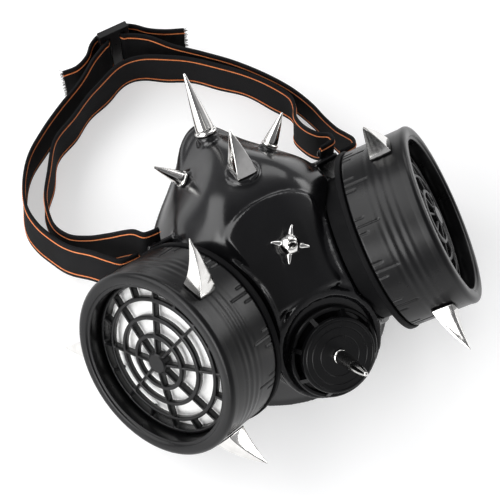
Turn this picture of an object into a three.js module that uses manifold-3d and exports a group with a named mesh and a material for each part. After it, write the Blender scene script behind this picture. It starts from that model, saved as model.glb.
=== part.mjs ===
// A moulded half mask with two round filter canisters, a chin valve, chrome spikes and an elastic head strap.
// Millimetres, +Z up. The mask lies on its face rim: X is across the face, Y points to the nose and Z to
// the front.
import * as THREE from 'three';
import { mergeVertices } from 'three/addons/utils/BufferGeometryUtils.js';
import Module from 'manifold-3d';

const wasm = await Module();
wasm.setup();

// Driving dimensions
const GAP = 0.3;
const SHELL_WALL = 2.6;
const RIM_RADIUS = 42.5;
const RIM_CENTRE = new THREE.Vector3(73.8, 0, 54.4);
const CANISTER_AXIS = new THREE.Vector3(0.848, -0.279, 0.451).normalize();
const CANISTER_DEPTH = 33.4;
const FLANGE_THICKNESS = 2.6;
const FLANGE_RADIUS = 43;
const COLLAR_RADIUS = 34;
const COLLAR_LENGTH = 9.3;
const COLLAR_WALL = 3;
const PORT_RADIUS = 14;
const STRAP_WIDTH = 25;
const STRAP_THICKNESS = 1.4;
const STRAP_STEPS = 2;
const STRAP_LEAN = 1.6;
const VALVE_TILT = THREE.MathUtils.degToRad(45);
const VALVE_FRONT = new THREE.Vector3(0, -31.5, 43);
const ROUND_STEPS = 32;

// Looks of the materials
const FINISH = {
  gloss: { color: 0x0c0c0e, roughness: 0.18, metalness: 0 },
  satin: { color: 0x1a1a1c, roughness: 0.45, metalness: 0 },
  chrome: { color: 0xd8d8d6, roughness: 0.12, metalness: 1 },
  pad: { color: 0xf2f2ee, roughness: 0.9, metalness: 0 },
  strap: { color: 0x141416, roughness: 0.85, metalness: 0 },
};

// Values between the rows of a table follow a smooth curve that never overshoots them
function between(rows, keyName, valueName, key) {
  const last = rows.length - 1;
  if (key <= rows[0][keyName]) return rows[0][valueName];
  if (key >= rows[last][keyName]) return rows[last][valueName];
  const i = rows.findIndex((row, n) => n < last && key < rows[n + 1][keyName]);
  const gain = (name, n) => rows[n + 1][name] - rows[n][name];
  const rise = (n) => gain(valueName, n) / gain(keyName, n);
  const slopeAt = (n) => {
    if (n === 0 || n === last || rise(n - 1) * rise(n) <= 0) return 0;
    return (2 * rise(n - 1) * rise(n)) / (rise(n - 1) + rise(n));
  };
  const step = gain(keyName, i);
  const startSlope = slopeAt(i);
  const endSlope = slopeAt(i + 1);
  const t = (key - rows[i][keyName]) / step;
  const rest = 1 - t;
  return rows[i][valueName] * (1 + 2 * t) * rest * rest
    + startSlope * step * t * rest * rest
    + rows[i + 1][valueName] * t * t * (3 - 2 * t)
    - endSlope * step * t * t * rest;
}

function mix(a, b, t) {
  return a + (b - a) * t;
}

// Geometry as a closed indexed mesh of positions only, with its faces pointing out
function closed(geometry) {
  const bare = geometry.clone();
  for (const name of Object.keys(bare.attributes)) {
    if (name !== 'position') bare.deleteAttribute(name);
  }
  const merged = mergeVertices(bare, 1e-4);
  const corners = Array.from(merged.index.array);
  const point = (i) => new THREE.Vector3().fromBufferAttribute(merged.attributes.position, i);
  const faces = [];
  let volume = 0;
  for (let i = 0; i < corners.length; i += 3) {
    const [a, b, c] = corners.slice(i, i + 3);
    if (a !== b && b !== c && c !== a) {
      faces.push([a, b, c]);
      volume += point(a).dot(point(b).cross(point(c)));
    }
  }
  merged.setIndex(faces.flatMap(([a, b, c]) => (volume < 0 ? [a, c, b] : [a, b, c])));
  return merged;
}

function solid(geometry) {
  const shape = closed(geometry);
  const mesh = new wasm.Mesh({
    numProp: 3,
    vertProperties: new Float32Array(shape.attributes.position.array),
    triVerts: new Uint32Array(shape.index.array),
  });
  return new wasm.Manifold(mesh);
}

function joined(geometries) {
  return geometries.map(solid).reduce((sum, next) => sum.add(next));
}

function fromSolid(body) {
  const mesh = body.getMesh();
  const geometry = new THREE.BufferGeometry();
  const count = mesh.vertProperties.length / mesh.numProp;
  const positions = new Float32Array(count * 3);
  for (let i = 0; i < count; i += 1) {
    positions.set(mesh.vertProperties.slice(i * mesh.numProp, i * mesh.numProp + 3), i * 3);
  }
  geometry.setAttribute('position', new THREE.BufferAttribute(positions, 3));
  geometry.setIndex(Array.from(mesh.triVerts));
  return geometry;
}

function node(name, geometry, finish) {
  const mesh = new THREE.Mesh(closed(geometry), new THREE.MeshStandardMaterial(FINISH[finish]));
  mesh.name = name;
  mesh.geometry.computeVertexNormals();
  return mesh;
}

// Round shape about Z from [radius, height] corners
function turned(corners, steps = ROUND_STEPS) {
  const profile = corners.map(([radius, height]) => new THREE.Vector2(radius, height));
  return new THREE.LatheGeometry(profile, steps).rotateX(Math.PI / 2);
}

function disc(radius, low, high, steps = ROUND_STEPS) {
  return turned([[0, low], [radius, low], [radius, high], [0, high]], steps);
}

function tubeRing(inner, outer, low, high, steps = ROUND_STEPS) {
  return turned([[inner, low], [outer, low], [outer, high], [inner, high], [inner, low]], steps);
}

// Skin over rings of points, each ring closed, with a fan to one point at either end
function skinned(rings, startPoint, endPoint) {
  const across = rings[0].length;
  const points = [...rings.flat(), startPoint, endPoint];
  const startIndex = points.length - 2;
  const endIndex = points.length - 1;
  const faces = [];
  for (let j = 0; j < across; j += 1) {
    const next = (j + 1) % across;
    faces.push(startIndex, next, j);
    for (let i = 0; i + 1 < rings.length; i += 1) {
      const low = i * across;
      const high = low + across;
      faces.push(low + j, low + next, high + next, low + j, high + next, high + j);
    }
    const top = (rings.length - 1) * across;
    faces.push(top + j, top + next, endIndex);
  }
  const geometry = new THREE.BufferGeometry();
  const positions = new Float32Array(points.flatMap((p) => [p.x, p.y, p.z]));
  geometry.setAttribute('position', new THREE.BufferAttribute(positions, 3));
  geometry.setIndex(faces);
  return geometry;
}

// Turn that sends +Z along a direction and keeps +X as near as it can to another
function facing(direction, sideways) {
  const z = direction.clone().normalize();
  const x = sideways.clone().addScaledVector(z, -sideways.dot(z)).normalize();
  const y = new THREE.Vector3().crossVectors(z, x);
  return new THREE.Matrix4().makeBasis(x, y, z);
}

function placed(geometry, direction, sideways, position) {
  return geometry.clone().applyMatrix4(facing(direction, sideways).setPosition(position));
}

const UP = new THREE.Vector3(0, 0, 1);
const ACROSS = new THREE.Vector3(1, 0, 0);
const SIDES = [{ name: 'left', sign: -1 }, { name: 'right', sign: 1 }];

function mirrored(vector, sign) {
  return new THREE.Vector3(vector.x * sign, vector.y, vector.z);
}

// The mask's front profile along its middle, and the half width of the flat panel there
const FRONT = [
  { y: -12, height: 54, panel: 14 },
  { y: 0, height: 60, panel: 17 },
  { y: 15, height: 67, panel: 20 },
  { y: 30, height: 74, panel: 20 },
  { y: 41, height: 77, panel: 18.5 },
  { y: 51, height: 76.3, panel: 15.5 },
  { y: 62, height: 73, panel: 9.5 },
  { y: 74, height: 68, panel: 3 },
  { y: 84, height: 63.3, panel: 0 },
  { y: 95, height: 57, panel: 0 },
];
const SIDE_FALL = 0.9;
const CREASE_SOFTNESS = 4;

function frontHeight(x, y) {
  const past = Math.abs(x) - between(FRONT, 'y', 'panel', y);
  const fall = SIDE_FALL * 0.5 * (past + Math.hypot(past, CREASE_SOFTNESS));
  return between(FRONT, 'y', 'height', y) - fall;
}

// The mask's plan about its middle: angle from the right, 90 at the nose and -90 at the chin
const PLAN_MIDDLE_Y = 25;
const PLAN = [
  { angle: -90, rim: 55.5, lift: 0, shoulder: 33, bulge: 0.12 },
  { angle: -63, rim: 55, lift: 0, shoulder: 36, bulge: 0.14 },
  { angle: -45, rim: 55, lift: 0, shoulder: 32, bulge: 0.06 },
  { angle: -20, rim: 56, lift: 0, shoulder: 27, bulge: 0 },
  { angle: 10, rim: 55, lift: 2, shoulder: 35, bulge: 0 },
  { angle: 27, rim: 56, lift: 13, shoulder: 40, bulge: 0 },
  { angle: 45, rim: 57, lift: 29, shoulder: 44.5, bulge: 0.03 },
  { angle: 60, rim: 57.5, lift: 38, shoulder: 48.5, bulge: 0.08 },
  { angle: 74, rim: 61, lift: 45, shoulder: 56.5, bulge: 0.16 },
  { angle: 82, rim: 68, lift: 49, shoulder: 61.5, bulge: 0.22 },
  { angle: 90, rim: 72, lift: 51, shoulder: 65, bulge: 0.25 },
];
const PLAN_ANGLES = [
  -90, -78, -66, -54, -42, -30, -18, -4, 10, 20, 30, 38, 45, 52, 58, 64, 69, 74, 78, 82, 86, 90,
];
const OUTER_DOME = { inset: 0, skirt: 0, everyAngle: 1, wallSteps: 4, topShares: [0.85, 0.68, 0.5, 0.3] };
const INNER_DOME = { inset: SHELL_WALL, skirt: 12, everyAngle: 2, wallSteps: 3, topShares: [0.6] };
const RIM_ROLL = 1.2;
const SWELL_UP = 0.6;

function planRow(angle) {
  const folded = angle > 90 ? 180 - angle : angle;
  const row = {};
  for (const name of ['rim', 'lift', 'shoulder', 'bulge']) row[name] = between(PLAN, 'angle', name, folded);
  return row;
}

function planPoint(angle, radius, height) {
  const turn = THREE.MathUtils.degToRad(angle);
  return new THREE.Vector3(radius * Math.cos(turn), PLAN_MIDDLE_Y + radius * Math.sin(turn), height);
}

// Closed dome between the rim and the front, drawn in by an inset, with a skirt below it if one is given
function dome({ inset, skirt, everyAngle, wallSteps, topShares }) {
  const right = PLAN_ANGLES.filter((angle, n) => n % everyAngle === 0 || angle === 90);
  const left = right.slice(1, -1).map((angle) => 180 - angle).reverse();
  const angles = [...right, ...left];
  const rings = [];
  const topOf = (angle, radius) => {
    const p = planPoint(angle, radius, 0);
    return frontHeight(p.x, p.y) - inset;
  };
  if (skirt) {
    rings.push(angles.map((angle) => planPoint(angle, planRow(angle).rim - inset, -skirt)));
  }
  for (let i = 0; i <= wallSteps; i += 1) {
    const t = i / wallSteps;
    rings.push(angles.map((angle) => {
      const row = planRow(angle);
      const rim = row.rim - inset;
      const shoulder = row.shoulder - inset;
      const top = topOf(angle, shoulder);
      const rolled = i === 0 && !skirt ? RIM_ROLL : 0;
      const swell = 4 * t * (1 - t) * row.bulge;
      const radius = mix(rim, shoulder, t) + swell * (rim - shoulder);
      return planPoint(angle, radius + rolled, mix(row.lift, top, t) + swell * (top - row.lift) * SWELL_UP);
    }));
  }
  for (const share of topShares) {
    rings.push(angles.map((angle) => {
      const radius = (planRow(angle).shoulder - inset) * share;
      return planPoint(angle, radius, topOf(angle, radius));
    }));
  }
  const bottom = new THREE.Vector3(0, PLAN_MIDDLE_Y, skirt ? -skirt : 0);
  const crown = new THREE.Vector3(0, PLAN_MIDDLE_Y, frontHeight(0, PLAN_MIDDLE_Y) - inset);
  return skinned(rings, bottom, crown);
}

// Raised block on the front: straight sides below, an arch on top
const BLOCK = {
  lowY: -7, lowHalf: 15.5, springY: 28, springHalf: 21.5, archRise: 7.5, archSteps: 14, sideSteps: 4,
  faceLow: 60.2, faceSlope: 0.447, crown: 0.009, edge: 1.6, depth: 9, flare: 1.04,
};

function blockOutline() {
  const outline = [];
  for (let i = 0; i <= BLOCK.archSteps; i += 1) {
    const turn = (Math.PI * i) / BLOCK.archSteps;
    outline.push([BLOCK.springHalf * Math.cos(turn), BLOCK.springY + BLOCK.archRise * Math.sin(turn)]);
  }
  for (let i = 1; i <= BLOCK.sideSteps; i += 1) {
    const t = i / BLOCK.sideSteps;
    outline.push([-mix(BLOCK.springHalf, BLOCK.lowHalf, t), mix(BLOCK.springY, BLOCK.lowY, t)]);
  }
  for (let i = BLOCK.sideSteps; i >= 1; i -= 1) {
    const t = i / BLOCK.sideSteps;
    outline.push([mix(BLOCK.springHalf, BLOCK.lowHalf, t), mix(BLOCK.springY, BLOCK.lowY, t)]);
  }
  return outline;
}

function blockHeight(x, y) {
  return BLOCK.faceLow + (y - BLOCK.lowY) * BLOCK.faceSlope - BLOCK.crown * x * x;
}

function frontBlock() {
  const middleY = (BLOCK.lowY + BLOCK.springY) / 2;
  const layers = [
    { share: BLOCK.flare, drop: BLOCK.depth },
    { share: 1, drop: BLOCK.edge },
    { share: 0.975, drop: BLOCK.edge * 0.35 },
    { share: 0.93, drop: 0 },
    { share: 0.5, drop: 0 },
  ];
  const rings = layers.map(({ share, drop }) => blockOutline().map(([x, y]) => {
    const px = x * share;
    const py = middleY + (y - middleY) * share;
    return new THREE.Vector3(px, py, blockHeight(px, py) - drop);
  }));
  const bottom = new THREE.Vector3(0, middleY, blockHeight(0, middleY) - BLOCK.depth);
  return skinned(rings, bottom, new THREE.Vector3(0, middleY, blockHeight(0, middleY)));
}

// Spikes on the mask itself: foot on the surface, direction of the point
const SHELL_SPIKES = [
  { name: 'nose_cone_spike', foot: [0, 85, 62.9], toward: [0, 0.62, 0.78], seat: 5.6 },
  { name: 'side_cone_spike_left', foot: [-18.9, 72.5, 55.9], toward: [-0.66, 0.42, 0.62], seat: 4.4 },
  { name: 'side_cone_spike_right', foot: [22, 66.2, 60.1], toward: [0.66, 0.42, 0.62], seat: 4.4 },
  { name: 'nose_claw_spike', foot: [0.3, 52.5, 77], toward: [0, 0.26, 0.97], seat: 7.3 },
  { name: 'star_stud', foot: [0, 14, 69.7], toward: [0, -0.408, 0.913], seat: 4.6 },
];
const SEAT_DEPTH = 7;
const SEAT_CLEARANCE = 6;
const SEAT_STEPS = 10;

function vector(values) {
  return new THREE.Vector3(...values);
}

// Lugs on the sides of the mask: a plate with two pegs for the ends of the bands
const LUG = {
  backY: 49, frontY: 51.6, innerX: 30, outerX: 49, lowerX: 61.5, low: 32, step: 42, slopeEnd: 46, high: 55,
};
const PEG = { radius: 2.2, head: 3, neck: 54.6, bevel: 0.8, tip: 57.4, hole: 2.7, steps: 8 };
const PEGS = { upper: { x: 45, z: 50 }, lower: { x: 57.5, z: 37 } };

function lugPlate(sign) {
  const outline = new THREE.Shape([
    new THREE.Vector2(LUG.innerX, LUG.low), new THREE.Vector2(LUG.lowerX, LUG.low),
    new THREE.Vector2(LUG.lowerX, LUG.step), new THREE.Vector2(LUG.outerX, LUG.slopeEnd),
    new THREE.Vector2(LUG.outerX, LUG.high), new THREE.Vector2(LUG.innerX, LUG.high),
  ]);
  const plate = new THREE.ExtrudeGeometry(outline, { depth: LUG.frontY - LUG.backY, bevelEnabled: false });
  plate.rotateX(Math.PI / 2).translate(0, LUG.frontY, 0);
  return plate.scale(sign, 1, 1);
}

function peg(place, sign) {
  const shape = turned([
    [0, LUG.backY], [PEG.radius, LUG.backY], [PEG.radius, PEG.neck], [PEG.head, PEG.neck + PEG.bevel],
    [PEG.head, PEG.tip], [0, PEG.tip],
  ], PEG.steps);
  return shape.rotateX(-Math.PI / 2).translate(place.x * sign, 0, place.z);
}

// Frame of a canister: origin at the middle of its front rim, +Z outwards, +X as near to up as it can be
function canisterMatrix(sign) {
  const axis = mirrored(CANISTER_AXIS, sign);
  return facing(axis, UP).setPosition(mirrored(RIM_CENTRE, sign));
}

const COLLAR_BACK = -(CANISTER_DEPTH + COLLAR_LENGTH);
const SEAT_LEVEL = COLLAR_BACK - GAP;
const SEAT_BOSS = { radius: 36, depth: 13, steps: 20 };
const FLOOR_CUT = { size: 300, depth: 30 };
const CLEARANCE = { room: 0.7, aboveRim: 4 };
const CUT_THROUGH = 30;

function canisterSeat() {
  return disc(SEAT_BOSS.radius, SEAT_LEVEL - SEAT_BOSS.depth, SEAT_LEVEL, SEAT_BOSS.steps);
}

function canisterClearance() {
  const collar = COLLAR_RADIUS + CLEARANCE.room;
  const flange = FLANGE_RADIUS + CLEARANCE.room;
  const flangeBack = -CANISTER_DEPTH - CLEARANCE.room;
  return turned([
    [0, SEAT_LEVEL], [collar, SEAT_LEVEL], [collar, flangeBack], [flange, flangeBack],
    [flange, CLEARANCE.aboveRim], [0, CLEARANCE.aboveRim],
  ], SEAT_BOSS.steps);
}

// Part of the hollow that stays filled, so that the shell is closed behind and round a canister's seat
function seatCup() {
  const radius = COLLAR_RADIUS + CLEARANCE.room + SHELL_WALL;
  return disc(radius, SEAT_LEVEL - SHELL_WALL, -CANISTER_DEPTH, SEAT_BOSS.steps);
}

// Chin valve, in a frame with its origin at the middle of its front disc and +Z along its axis
const VALVE = {
  discRadius: 17.2, discThickness: 2.6, ringInner: 18.6, ringOuter: 20.6, ringBack: -8, ringFront: -5,
  coreInner: 11.5, coreOuter: 13.5, ribs: 8, ribWidth: 2, cupRadius: 21.8, cupDepth: 26, airway: 12,
  clearance: 1.2, clearHeight: 14, steps: 20, coreSteps: 10, bite: 0.4, firstRib: 0.3,
};
const VALVE_DIRECTION = new THREE.Vector3(0, -Math.sin(VALVE_TILT), Math.cos(VALVE_TILT));

function atValve(geometry) {
  return placed(geometry, VALVE_DIRECTION, ACROSS, VALVE_FRONT);
}

// Hood round the upper half of the valve: a wall with a sloping top, set a little towards the block
const HOOD = { radius: 25.2, shift: 3.5, low: -24, level: -7, slope: 0.06, steps: 13 };

function valveHood() {
  const ring = (heightOf) => {
    const points = [];
    for (let i = 0; i < HOOD.steps; i += 1) {
      const turn = (2 * Math.PI * i) / HOOD.steps;
      const y = HOOD.shift + HOOD.radius * Math.sin(turn);
      points.push(new THREE.Vector3(HOOD.radius * Math.cos(turn), y, heightOf(y)));
    }
    return points;
  };
  const topAt = (y) => HOOD.level + HOOD.slope * y;
  const rings = [ring(() => HOOD.low), ring(topAt)];
  const middle = (height) => new THREE.Vector3(0, HOOD.shift, height);
  return skinned(rings, middle(HOOD.low), middle(topAt(HOOD.shift)));
}

function maskShell() {
  const cupTop = VALVE.ringBack - GAP;
  const cup = disc(VALVE.cupRadius, cupTop - VALVE.cupDepth, cupTop, VALVE.steps);
  const additions = [frontBlock(), atValve(cup), atValve(valveHood())];
  const roomFor = (steps) => disc(VALVE.ringOuter + VALVE.clearance, cupTop, VALVE.clearHeight, steps);
  const floor = new THREE.BoxGeometry(FLOOR_CUT.size, FLOOR_CUT.size, FLOOR_CUT.depth);
  const cuts = [
    floor.translate(0, 0, -FLOOR_CUT.depth / 2),
    atValve(disc(VALVE.airway, cupTop - VALVE.cupDepth - CUT_THROUGH, cupTop + GAP, SEAT_STEPS)),
    atValve(roomFor(VALVE.steps)),
    atValve(roomFor(HOOD.steps).translate(0, HOOD.shift, 0)),
  ];
  let hollow = solid(dome(INNER_DOME));
  for (const { sign } of SIDES) {
    const matrix = canisterMatrix(sign);
    additions.push(canisterSeat().applyMatrix4(matrix), lugPlate(sign));
    hollow = hollow.subtract(solid(seatCup().applyMatrix4(matrix)));
    cuts.push(canisterClearance().applyMatrix4(matrix));
    cuts.push(disc(PORT_RADIUS, SEAT_LEVEL - CUT_THROUGH, SEAT_LEVEL + GAP, SEAT_STEPS).applyMatrix4(matrix));
    for (const place of Object.values(PEGS)) additions.push(peg(place, sign));
  }
  const seats = [];
  for (const { foot, toward, seat } of SHELL_SPIKES) {
    const [direction, position] = [vector(toward), vector(foot)];
    seats.push(placed(disc(seat, -SEAT_DEPTH, -GAP, SEAT_STEPS), direction, ACROSS, position));
    cuts.push(placed(disc(seat, -GAP, SEAT_CLEARANCE, SEAT_STEPS), direction, ACROSS, position));
  }
  const body = joined([dome(OUTER_DOME), ...additions, ...seats]).subtract(hollow);
  return fromSolid(cuts.map(solid).reduce((rest, cut) => rest.subtract(cut), body));
}

// Canister pieces
const BEZEL = { recess: 36, shelf: -17, innerWall: 40, wall: 42.2, lip: 1, round: 2.2 };

function canisterCover() {
  const back = -CANISTER_DEPTH + FLANGE_THICKNESS + GAP;
  return turned([
    [BEZEL.recess, BEZEL.shelf], [BEZEL.recess, -BEZEL.lip], [BEZEL.recess + BEZEL.lip, 0],
    [RIM_RADIUS - BEZEL.round, 0], [RIM_RADIUS, -BEZEL.round], [BEZEL.wall, -2 * BEZEL.round],
    [BEZEL.wall, back], [BEZEL.innerWall, back], [BEZEL.innerWall, BEZEL.shelf], [BEZEL.recess, BEZEL.shelf],
  ]);
}

function canisterBase() {
  const collarInner = COLLAR_RADIUS - COLLAR_WALL;
  return turned([
    [PORT_RADIUS, -CANISTER_DEPTH], [collarInner, -CANISTER_DEPTH],
    [collarInner, COLLAR_BACK], [COLLAR_RADIUS, COLLAR_BACK], [COLLAR_RADIUS, -CANISTER_DEPTH],
    [FLANGE_RADIUS, -CANISTER_DEPTH], [FLANGE_RADIUS, -CANISTER_DEPTH + FLANGE_THICKNESS],
    [PORT_RADIUS, -CANISTER_DEPTH + FLANGE_THICKNESS], [PORT_RADIUS, -CANISTER_DEPTH],
  ], SEAT_BOSS.steps);
}

const GRILLE = {
  hubRadius: 4.7, hubDepth: 2.7, edgeDepth: 7.6, edgeRadius: 35.7, barDepth: 3.6, barWidth: 1.2,
  ringDepth: 2.4, ringWidth: 1.8, spokes: 8, steps: 14, backPlane: -12.4,
  turn: THREE.MathUtils.degToRad(30), domePower: 1.2, spokeDrop: 0.2, bite: 0.6, hubSteps: 12,
};
const GRILLE_RINGS = [{ radius: 12.2 }, { radius: 20.2 }, { radius: 28.2 }];

function grilleFront(radius) {
  return -mix(GRILLE.hubDepth, GRILLE.edgeDepth, (radius / GRILLE.edgeRadius) ** GRILLE.domePower);
}

function grilleRing(inner, outer) {
  const [innerFront, outerFront] = [grilleFront(inner), grilleFront(outer)];
  return turned([
    [inner, innerFront - GRILLE.ringDepth], [outer, outerFront - GRILLE.ringDepth], [outer, outerFront],
    [inner, innerFront], [inner, innerFront - GRILLE.ringDepth],
  ], GRILLE.steps);
}

function grilleSpoke(inner, outer, angle) {
  const [low, high] = [grilleFront(outer), grilleFront(inner)];
  const side = new THREE.Shape([
    new THREE.Vector2(inner, high - GRILLE.barDepth), new THREE.Vector2(outer, low - GRILLE.barDepth),
    new THREE.Vector2(outer, low - GRILLE.spokeDrop), new THREE.Vector2(inner, high - GRILLE.spokeDrop),
  ]);
  const bar = new THREE.ExtrudeGeometry(side, { depth: GRILLE.barWidth, bevelEnabled: false });
  return bar.translate(0, 0, -GRILLE.barWidth / 2).rotateX(Math.PI / 2).rotateZ(angle);
}

function canisterGrille(sign) {
  const hubBack = grilleFront(0) - GRILLE.barDepth - GRILLE.bite;
  const bodies = [disc(GRILLE.hubRadius, hubBack, grilleFront(0), GRILLE.hubSteps)];
  const edgeInner = GRILLE.edgeRadius - GRILLE.ringWidth;
  bodies.push(turned([
    [edgeInner, GRILLE.backPlane], [GRILLE.edgeRadius, GRILLE.backPlane],
    [GRILLE.edgeRadius, grilleFront(GRILLE.edgeRadius)], [edgeInner, grilleFront(edgeInner)],
    [edgeInner, GRILLE.backPlane],
  ], GRILLE.steps));
  for (const { radius } of GRILLE_RINGS) {
    bodies.push(grilleRing(radius - GRILLE.ringWidth / 2, radius + GRILLE.ringWidth / 2));
  }
  const outerRing = GRILLE_RINGS[GRILLE_RINGS.length - 1].radius;
  const step = (2 * Math.PI) / GRILLE.spokes;
  const start = -sign * GRILLE.turn;
  for (let i = 0; i < GRILLE.spokes; i += 1) {
    bodies.push(grilleSpoke(GRILLE.hubRadius - GRILLE.bite, edgeInner + GRILLE.bite, start + i * step));
    bodies.push(grilleSpoke(outerRing, edgeInner + GRILLE.bite, start + (i + 0.5) * step));
  }
  return fromSolid(joined(bodies));
}

const PAD = {
  radius: 35.6, edge: GRILLE.backPlane - GAP, thickness: 3.6, behind: 1.4, rings: [32.4, 24, 12], steps: 18,
};

// The pad lies close behind the domed bars
function filterPad() {
  const padFront = (radius) => grilleFront(radius) - GRILLE.barDepth - PAD.behind;
  const low = PAD.edge - PAD.thickness;
  return turned([
    [0, low], [PAD.radius, low], [PAD.radius, PAD.edge], [PAD.rings[0] + GAP, PAD.edge],
    ...PAD.rings.map((radius) => [radius, padFront(radius)]), [0, padFront(0)],
  ], PAD.steps);
}

// Claw: a four-sided spike on a square foot, with its point drawn to one side
const CLAW = { half: 5, layers: 4, taper: 0.82, bend: 1.5 };

function claw({ height, leanX, leanY }) {
  const rings = [];
  for (let i = 0; i < CLAW.layers; i += 1) {
    const t = i / CLAW.layers;
    const size = CLAW.half * (1 - t) ** CLAW.taper;
    const bent = t ** CLAW.bend;
    const corner = (x, y) => new THREE.Vector3(x * size + leanX * bent, y * size + leanY * bent, height * t);
    rings.push([corner(1, 1), corner(-1, 1), corner(-1, -1), corner(1, -1)]);
  }
  return skinned(rings, new THREE.Vector3(0, 0, 0), new THREE.Vector3(leanX, leanY, height));
}

// Claws round a canister: angle from its top towards the nose, distance behind the rim, and how far the point
// is drawn towards the rim and round towards the nose
const CANISTER_SPIKES = {
  left: [
    { letter: 'a', angle: -1.5, back: 11.9, height: 21, toRim: 4, toNose: 10.6 },
    { letter: 'b', angle: -110, back: 12, height: 19, toRim: -3.5, toNose: 4.5 },
    { letter: 'c', angle: 128, back: 11, height: 19, toRim: 3, toNose: 0 },
  ],
  right: [
    { letter: 'a', angle: 30, back: 11.3, height: 18, toRim: 0.3, toNose: -7.5 },
    { letter: 'b', angle: -94, back: 13.5, height: 21, toRim: 5.2, toNose: 0 },
    { letter: 'c', angle: 140, back: 11, height: 19, toRim: 3, toNose: 0 },
  ],
};

function canisterSpike(spike, sign) {
  const turn = -sign * THREE.MathUtils.degToRad(spike.angle);
  const outwards = new THREE.Vector3(Math.cos(turn), Math.sin(turn), 0);
  const foot = outwards.clone().multiplyScalar(BEZEL.wall + GAP).setZ(-spike.back);
  const shape = claw({ height: spike.height, leanX: spike.toRim, leanY: sign * spike.toNose });
  return placed(shape, outwards, UP, foot);
}

function canister({ name, sign }) {
  const group = new THREE.Group();
  group.applyMatrix4(canisterMatrix(sign));
  group.add(node(`canister_base_${name}`, canisterBase(), 'satin'));
  group.add(node(`canister_cover_${name}`, canisterCover(), 'satin'));
  group.add(node(`canister_grille_${name}`, canisterGrille(sign), 'satin'));
  group.add(node(`filter_pad_${name}`, filterPad(), 'pad'));
  for (const spike of CANISTER_SPIKES[name]) {
    group.add(node(`canister_spike_${name}_${spike.letter}`, canisterSpike(spike, sign), 'chrome'));
  }
  return group;
}

// Chin valve cover and its spike
function valveCover() {
  const discMiddle = -VALVE.discThickness / 2;
  const ribInner = VALVE.coreInner + VALVE.bite;
  const ribOuter = VALVE.ringOuter - VALVE.bite;
  const bodies = [
    disc(VALVE.discRadius, -VALVE.discThickness, 0, VALVE.steps),
    tubeRing(VALVE.ringInner, VALVE.ringOuter, VALVE.ringBack, VALVE.ringFront, VALVE.steps),
    tubeRing(VALVE.coreInner, VALVE.coreOuter, VALVE.ringBack, discMiddle, VALVE.coreSteps),
  ];
  for (let i = 0; i < VALVE.ribs; i += 1) {
    const side = new THREE.Shape([
      new THREE.Vector2(ribInner, VALVE.ringBack + VALVE.bite),
      new THREE.Vector2(ribOuter, VALVE.ringBack + VALVE.bite),
      new THREE.Vector2(ribOuter, VALVE.ringFront - VALVE.bite),
      new THREE.Vector2(VALVE.discRadius - VALVE.bite, discMiddle),
      new THREE.Vector2(ribInner, discMiddle),
    ]);
    const rib = new THREE.ExtrudeGeometry(side, { depth: VALVE.ribWidth, bevelEnabled: false });
    rib.translate(0, 0, -VALVE.ribWidth / 2).rotateX(Math.PI / 2);
    bodies.push(rib.rotateZ(((i + VALVE.firstRib) * 2 * Math.PI) / VALVE.ribs));
  }
  return fromSolid(joined(bodies));
}

// Cones: a round foot, then a nearly straight taper to a blunt point
const CONE = {
  footHeight: 1.4, shoulderHeight: 2.2, lowShare: 0.16, lowRadius: 0.96, highShare: 0.62, tipHeight: 0.4,
  steps: 12,
};
const NOSE_CONE = { radius: 4.3, length: 30, foot: 5.2, high: 0.5, tip: 0.45 };
const SIDE_CONE = { radius: 3.4, length: 16.5, foot: 3.9, high: 0.5, tip: 0.45 };
const VALVE_CONE = { radius: 3.2, length: 26, foot: 3.4, high: 0.8, tip: 1 };

function coneSpike({ radius, length, foot, high, tip }) {
  return turned([
    [0, 0], [foot, 0], [foot, CONE.footHeight], [radius, CONE.shoulderHeight],
    [radius * CONE.lowRadius, length * CONE.lowShare], [radius * high, length * CONE.highShare],
    [tip, length - CONE.tipHeight], [0, length],
  ], CONE.steps);
}

// Stud: a ball on a short foot, with four points round it and one on top
const STAR = {
  footRadius: 4.2, neckRadius: 3.6, neckHeight: 1.4, ballHeight: 5, ballRadius: 4.6, ballStart: -0.9,
  ballSteps: 5, steps: 10,
  points: 4, pointRadius: 1.7, pointWaist: 1.3, waistAt: 4.4, pointReach: 8.6, pointRise: 0.12,
  topRadius: 2.6, topWaist: 2, topReach: 10.5, pointSteps: 8, twist: THREE.MathUtils.degToRad(-32),
};

function starStud() {
  const profile = [[0, 0], [STAR.footRadius, 0], [STAR.neckRadius, STAR.neckHeight]];
  for (let i = 1; i < STAR.ballSteps; i += 1) {
    const turn = mix(STAR.ballStart, Math.PI / 2, i / STAR.ballSteps);
    profile.push([STAR.ballRadius * Math.cos(turn), STAR.ballHeight + STAR.ballRadius * Math.sin(turn)]);
  }
  profile.push([0, STAR.ballHeight + STAR.ballRadius]);
  const bodies = [turned(profile, STAR.steps)];
  const middle = new THREE.Vector3(0, 0, STAR.ballHeight);
  const pointOf = (radius, waist, reach) => turned([
    [0, 0], [radius, 0], [waist, STAR.waistAt], [0, reach],
  ], STAR.pointSteps);
  const point = pointOf(STAR.pointRadius, STAR.pointWaist, STAR.pointReach);
  for (let i = 0; i < STAR.points; i += 1) {
    const turn = STAR.twist + (i * 2 * Math.PI) / STAR.points;
    bodies.push(placed(point, new THREE.Vector3(Math.cos(turn), Math.sin(turn), STAR.pointRise), UP, middle));
  }
  bodies.push(placed(pointOf(STAR.topRadius, STAR.topWaist, STAR.topReach), UP, ACROSS, middle));
  return fromSolid(joined(bodies));
}

const NOSE_CLAW = { height: 20, leanX: 0, leanY: 6 };
const SPIKE_SHAPES = {
  nose_cone_spike: () => coneSpike(NOSE_CONE),
  side_cone_spike_left: () => coneSpike(SIDE_CONE),
  side_cone_spike_right: () => coneSpike(SIDE_CONE),
  nose_claw_spike: () => claw(NOSE_CLAW),
  star_stud: () => starStud(),
};

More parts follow.
